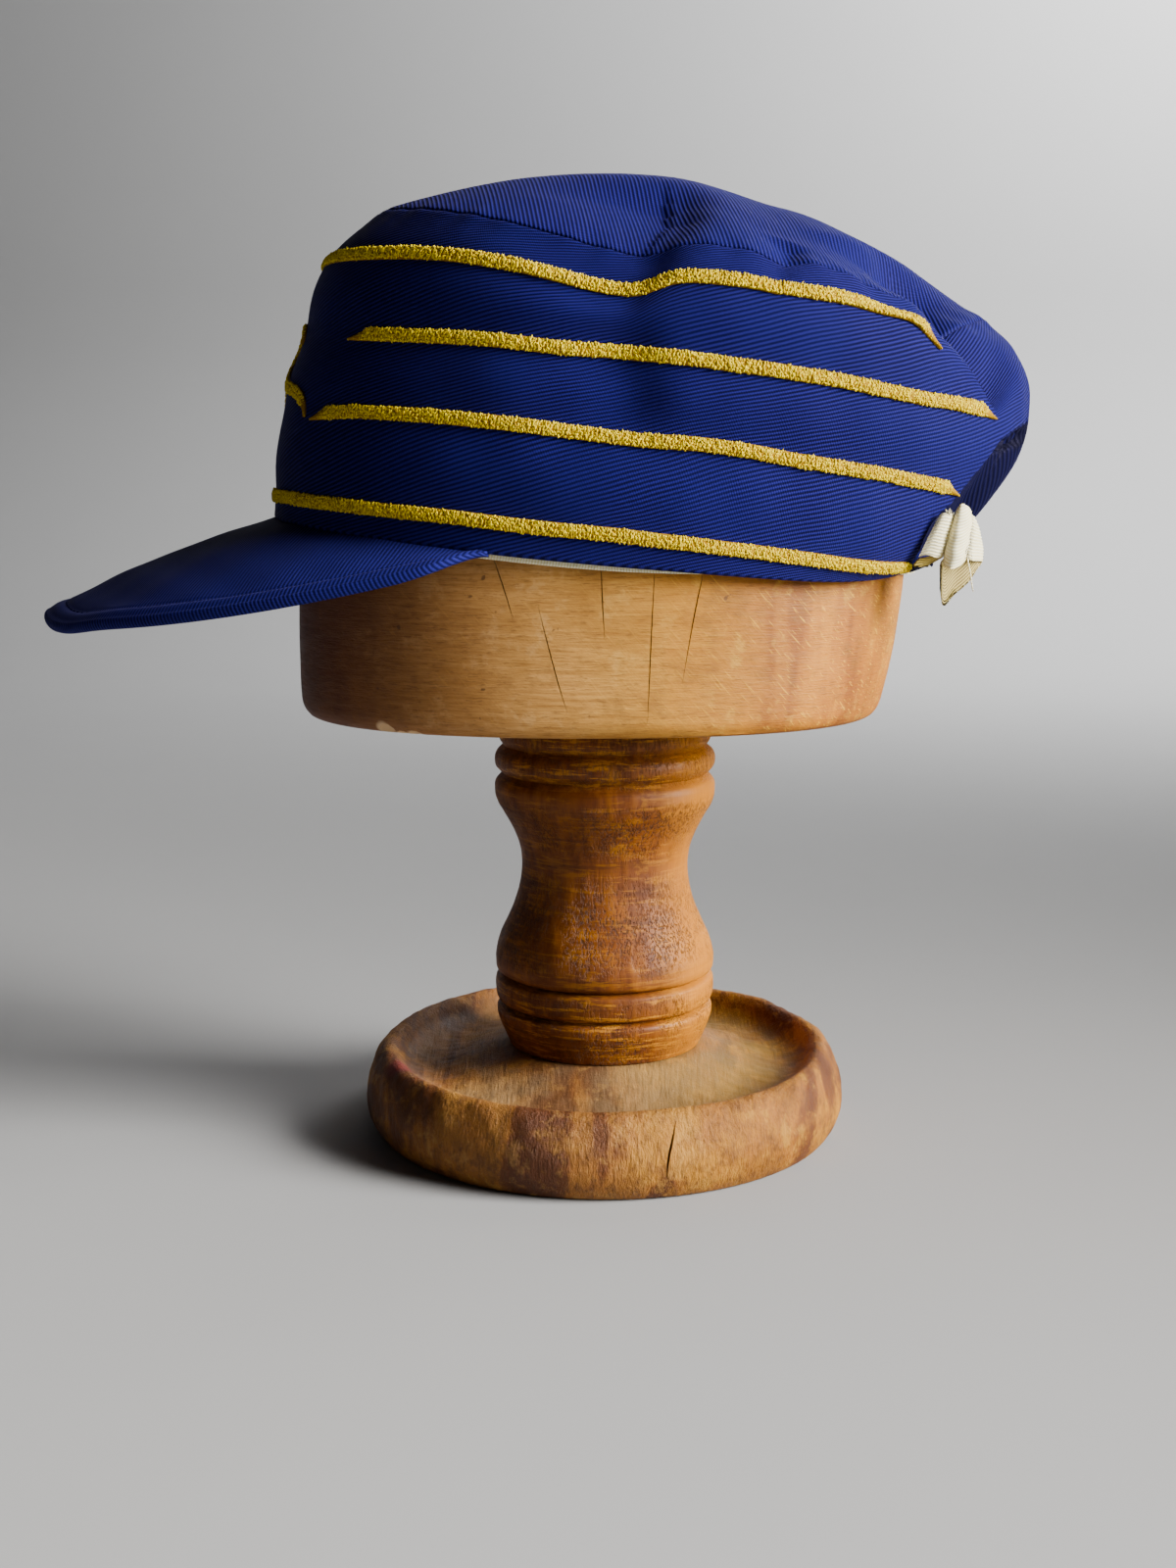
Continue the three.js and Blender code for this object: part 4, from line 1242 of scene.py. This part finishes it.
def standColumn():
    piece = turned("standColumn", column)
    at = cornersOf(piece)
    out = unit(at * levelOnly)
    foot, head = column["flatEnds"]
    between = (at[:, 2] > foot) & (at[:, 2] < head)
    at += out * (unevenBy(at, column["uneven"], 31) * between)[:, None]
    moveTo(piece, at)
    return piece


def standBase():
    piece = turned("standBase", base)
    at = cornersOf(piece)
    reach = np.hypot(at[:, 0], at[:, 1]) / base["radius"]
    at[:, 2] *= 1 + base["warp"] * at[:, 1] / base["radius"] * reach ** 2
    worn = unevenBy(at, base["worn"], 41)
    clear = eased(at[:, 2], 0.2, 4) * eased(reach, 0.5, 0.62)
    out = unit(at * levelOnly)
    at += (out * 0.7 + upward * 0.7) * (worn * clear)[:, None]
    moveTo(piece, at)
    crack = curveThrough(np.array(base["crack"], dtype=float), np.linspace(0, len(base["crack"]) - 1, 12))
    crack = [(x, -math.sqrt(base["crackRadius"] ** 2 - x ** 2), z) for x, z in crack]
    carve(piece, [blade(crack, base["crackWidth"], base["crackDepth"])])
    shadedByAngle(piece, 38)
    return piece


# building

print("modelling the stand")
woodOfBlock, woodOfColumn, woodOfBase = blockWood(), columnWood(), baseWood()
finished(hatBlock(), woodOfBlock, "block_wood", "hat_block")
finished(standColumn(), woodOfColumn, "turned_wood", "stand_column")
finished(standBase(), woodOfBase, "turned_wood", "stand_base")

print("laying the cloth")
finished(crownSide(), twillCloth("side twill", 20), "blue_cloth", "crown_side")
finished(crownTop(), twillCloth("top twill", -83), "blue_cloth", "crown_top")
# painted light: the peak's twill is a lighter copy of the crown's cloth, standing in for more light on the
# peak
paintedLighterPeakTwill = twillCloth("peak twill painted lighter", 60, (0.0145, 0.0145, 0.158), (0.0016, 0.002, 0.033), relief=0.4)
finished(peakCloth(), paintedLighterPeakTwill, "blue_cloth", "peak")
finished(peakStitches(), paintedLighterPeakTwill, "blue_cloth")
ribbonFinish = creamRibbon()
finished(sweatband(), ribbonFinish, "cream_ribbon", "sweatband")

print("stitching the stripes")
gold = goldThread()
stripe = {"width": 4.6, "tip": 8.0, "steps": 900, "smoothing": 17}
routes = {  # how many degrees round and levels up each stripe runs
    "stripe_rim": [(-149, 1), (147, 1)],
    "stripe_top": [(-137, 4.5), (-131, 4.1), (-124, 4), (-20, 4), (20, 4), (104, 4), (112, 4.1),
                   (118, 4.07), (123, 3.99), (124.8, 3.92), (126, 3.79), (128.2, 3.6)],
    "stripe_lower_left": [(32, 1.97), (45, 2.02), (144.3, 2.02)],
    "stripe_upper_left": [(37, 3), (100, 3), (144, 2.9)],
    "stripe_lower_right": [(-144.3, 2.02), (-45, 2.02), (-32, 1.97)],
    "stripe_upper_right": [(-144, 2.9), (-100, 3), (-37, 3)],
}
for i, (node, route) in enumerate(routes.items()):
    degrees, levels = zip(*route)
    fine = np.linspace(degrees[0], degrees[-1], stripe["steps"])
    levels = np.pad(np.interp(fine, degrees, levels), stripe["smoothing"] // 2, "edge")
    levels = np.convolve(levels, np.full(stripe["smoothing"], 1 / stripe["smoothing"]), "valid")
    name = node.replace("_", "-")
    piece = stitched(name, np.radians(fine), levels, stripe["width"], stripe["tip"], seed=50 + i)
    finished(piece, gold, "gold_stitching", node)

print("stitching the scroll and lozenge")
scroll = {
    "length": 64, "step": 2, "across": 41, "up": -13.5, "heading": 172, "bend": -620, "straight": 0.3,
    "level": 2.5, "degreesPerMm": 0.72, "levelsPerMm": 1 / 24, "width": 4.4, "tip": 7,
}
for side, node in ((1, "scroll_left"), (-1, "scroll_right")):
    across, up, route = scroll["across"], scroll["up"], []
    for run in np.arange(0, scroll["length"], scroll["step"]):
        route.append((side * across * scroll["degreesPerMm"], scroll["level"] + up * scroll["levelsPerMm"]))
        bent = scroll["bend"] * (run / scroll["length"] - scroll["straight"]) ** 2
        turn = math.radians(scroll["heading"] + bent)
        across += scroll["step"] * math.cos(turn)
        up += scroll["step"] * math.sin(turn)
    degrees, levels = np.array(route).T
    name = node.replace("_", "-")
    piece = stitched(name, np.radians(degrees), levels, scroll["width"], scroll["tip"], False, 70 + side)
    finished(piece, gold, "gold_stitching", node)

lozenge = {"half": 7.2, "wide": 0.7, "up": -4, "rows": 9, "rowWidth": 2.2}
rowsOfLozenge = []
for i in range(lozenge["rows"]):
    share = (i + 0.5) / lozenge["rows"] * 2 - 1
    reach = (1 - abs(share)) * lozenge["half"] * lozenge["wide"] + 0.5
    high = scroll["level"] + (lozenge["up"] + share * lozenge["half"]) * scroll["levelsPerMm"]
    span = np.radians(np.linspace(-reach, reach, 20) * scroll["degreesPerMm"])
    row = stitched(f"lozengeRow{i}", span, np.full(20, high), lozenge["rowWidth"], 0, seed=90 + i)
    rowsOfLozenge.append(row)
finished(joined("scroll-lozenge", rowsOfLozenge), gold, "gold_stitching", "scroll_lozenge")

print("tying the ribbon")
tied = {  # node, bulge, darkening, the size that the ribbon was cut to, and each station's foot and head
    "tieWingLeft": ("tie_wing_left", 0.5, 0.04, (0.0125, 0.0145), [
        ((92.8, -59.5, 194.6), (98.8, -60.0, 207.2)), ((95.2, -60.0, 195.0), (100.1, -60.6, 207.8)),
        ((97.9, -59.2, 194.4), (101.9, -59.6, 207.5)), ((100.9, -55.5, 194.5), (104.3, -55.5, 206.7))]),
    "tieKnot": ("tie_knot", 0.5, 0.0, (0.0145, 0.0185), [
        ((100.9, -55.2, 194.5), (104.1, -55.2, 206.8)), ((100.7, -58.5, 192.0), (104.2, -58.0, 209.2)),
        ((102.6, -60.0, 191.1), (105.2, -59.0, 210.3)), ((105.0, -59.0, 191.8), (107.1, -58.0, 209.6)),
        ((107.6, -55.5, 193.7), (109.2, -54.5, 208.0))]),
    "tieWingRight": ("tie_wing_right", 0.4, 0.0, (0.0115, 0.0135), [
        ((107.6, -54.2, 193.9), (109.2, -53.5, 207.1)), ((109.3, -54.8, 193.3), (110.6, -52.5, 206.1)),
        ((111.6, -53.0, 193.2), (112.4, -49.5, 204.0)), ((114.1, -48.5, 192.8), (114.1, -45.5, 200.0))]),
    "tieTail": ("tie_tail", 0.0, 0.8, (0.0145, 0.0145), [
        ((100.9, -51.0, 184.9), (101.0, -52.0, 191.7)), ((102.4, -50.5, 179.5), (101.6, -52.0, 193.8)),
        ((105.8, -50.0, 183.0), (104.5, -51.5, 193.9)), ((109.6, -49.5, 186.4), (108.5, -50.5, 193.7)),
        ((112.3, -48.5, 190.1), (111.9, -49.5, 193.4)), ((114.1, -47.0, 192.4), (113.8, -48.0, 193.3))]),
}
paintedShadeUnderside = [  # painted shade: a sheet darkened to brown for the shaded inside of the left wing
    ((91.8, -57.5, 191.3), (92.0, -58.0, 191.9)), ((94.1, -57.0, 191.7), (93.3, -58.5, 193.7)),
    ((96.0, -56.0, 191.6), (95.4, -58.5, 194.4)), ((98.2, -55.5, 192.7), (97.5, -58.0, 194.7)),
    ((101.0, -54.5, 194.0), (100.7, -56.0, 194.6))]
looseThread = [(107.7, -57.3, 194.6), (108.2, -58.0, 191.7), (108.9, -57.5, 188.7), (109.3, -57.2, 186.7),
               (109.9, -57.0, 184.0)]
frays = [
    [(100.7, -60.2, 206.9), (100.2, -61.0, 208.7)], [(101.1, -60.2, 207.1), (101.0, -61.2, 208.2)],
    [(101.4, -60.2, 207.1), (101.3, -61.0, 209.0)], [(101.8, -59.9, 206.9), (101.9, -60.8, 208.4)],
    [(102.6, -58.8, 206.6), (102.9, -59.6, 207.6)],
]
pinking = [  # small cut threads along the tail's slanting edge
    (114.0, -48.0, 192.7), (113.5, -48.4, 191.7), (112.8, -48.6, 191.0), (112.2, -48.8, 190.3),
    (111.5, -49.0, 189.1), (110.6, -49.3, 187.9), (109.8, -49.6, 186.6), (108.5, -49.8, 185.6),
    (106.4, -50.1, 183.6), (104.0, -50.4, 181.1),
]
cutEnds = np.array([(-0.25, -0.3, 0), (0.25, -0.3, 0)])
extras = {
    "tieWingLeft": [thread(line, 0.16) for line in frays],
    "tieWingRight": [thread(looseThread, 0.2)],
    "tieTail": [thread(place + cutEnds, 0.26) for place in np.array(pinking)],
}
# the sheet inside the left wing is darkened fully, as painted shade
extras["tieWingLeft"].append(ribbonPiece("paintedShadeUnderside", paintedShadeUnderside, 20, 10, seed=120, aged=1.0))
for i, (name, (node, bulge, aged, cut, stations)) in enumerate(tied.items()):
    piece = ribbonPiece(name, stations, bulge=bulge, seed=101 + i, aged=aged)
    if name in extras:
        piece = joined(name, [piece] + extras[name])
    finished(piece, ribbonFinish, "cream_ribbon", node)


# floor, light and camera

stage = {"wide": 7.0, "front": 1.8, "back": 1.5, "bend": 0.45, "high": 2.6}  # in metres


def backdrop():  # a floor that bends up into a wall
    floor, bend = stage["front"] + stage["back"], stage["bend"]

    def lay(across, up):
        run = up * (floor + bend * math.pi / 2 + stage["high"])
        turn = np.clip((run - floor) / bend, 0, math.pi / 2)
        past = np.maximum(run - floor - bend * math.pi / 2, 0)
        x = (across - 0.5) * stage["wide"]
        y = np.minimum(run, floor) - stage["front"] + bend * np.sin(turn)
        z = bend * (1 - np.cos(turn)) + past
        return np.stack([x, y, z], axis=-1) / mm, np.stack([x, run], axis=-1)

    sheet = laid("backdrop", 6, 90, lay, closed=False)
    sheet.data.materials.clear()
    sheet.data.materials.append(palePaper())


lamps = {  # place, aim, size, power, colour and spread
    "window": ((1.33, -0.65, 0.73), (-0.05, -0.42, 0.18), (0.9, 0.9), 25, (1.0, 0.98, 0.95), 60),
    "fill": ((-1.3, -1.2, 0.7), (0, 0, 0.2), (1.6, 1.2), 0.5, (1.0, 0.9, 0.8), 180),
    "wallWash": ((1.35, 1.15, 1.55), (0.55, 1.95, 0.85), (0.5, 0.8), 88, (1.0, 1.0, 1.0), 140),
}


def softLight(name, place, aim, size, power, colour, spread):
    light = bpy.data.lights.new(name, "AREA")
    light.spread = math.radians(spread)
    light.shape = "RECTANGLE"
    light.size, light.size_y = size
    light.energy = power
    light.color = colour
    lamp = bpy.data.objects.new(name, light)
    bpy.context.collection.objects.link(lamp)
    lamp.location = place
    lamp.rotation_euler = (Vector(aim) - Vector(place)).to_track_quat("-Z", "Y").to_euler()


print("setting the floor, lights and camera")
backdrop()
for name, settings in lamps.items():
    softLight(name, *settings)

room = {"colour": (1.0, 0.88, 0.76, 1), "strength": 0.015}
world = bpy.data.worlds.new("room")
world.use_nodes = True
world.node_tree.nodes["Background"].inputs["Color"].default_value = room["colour"]
world.node_tree.nodes["Background"].inputs["Strength"].default_value = room["strength"]
bpy.context.scene.world = world

view = {"lens": 42.75, "place": (-0.0056, -0.6175, 0.2142), "tilt": 81.03}
lens = bpy.data.cameras.new("camera")
lens.lens = view["lens"]
camera = bpy.data.objects.new("camera", lens)
bpy.context.collection.objects.link(camera)
camera.location = view["place"]
camera.rotation_euler = (math.radians(view["tilt"]), 0, 0)
bpy.context.scene.camera = camera

print("done")
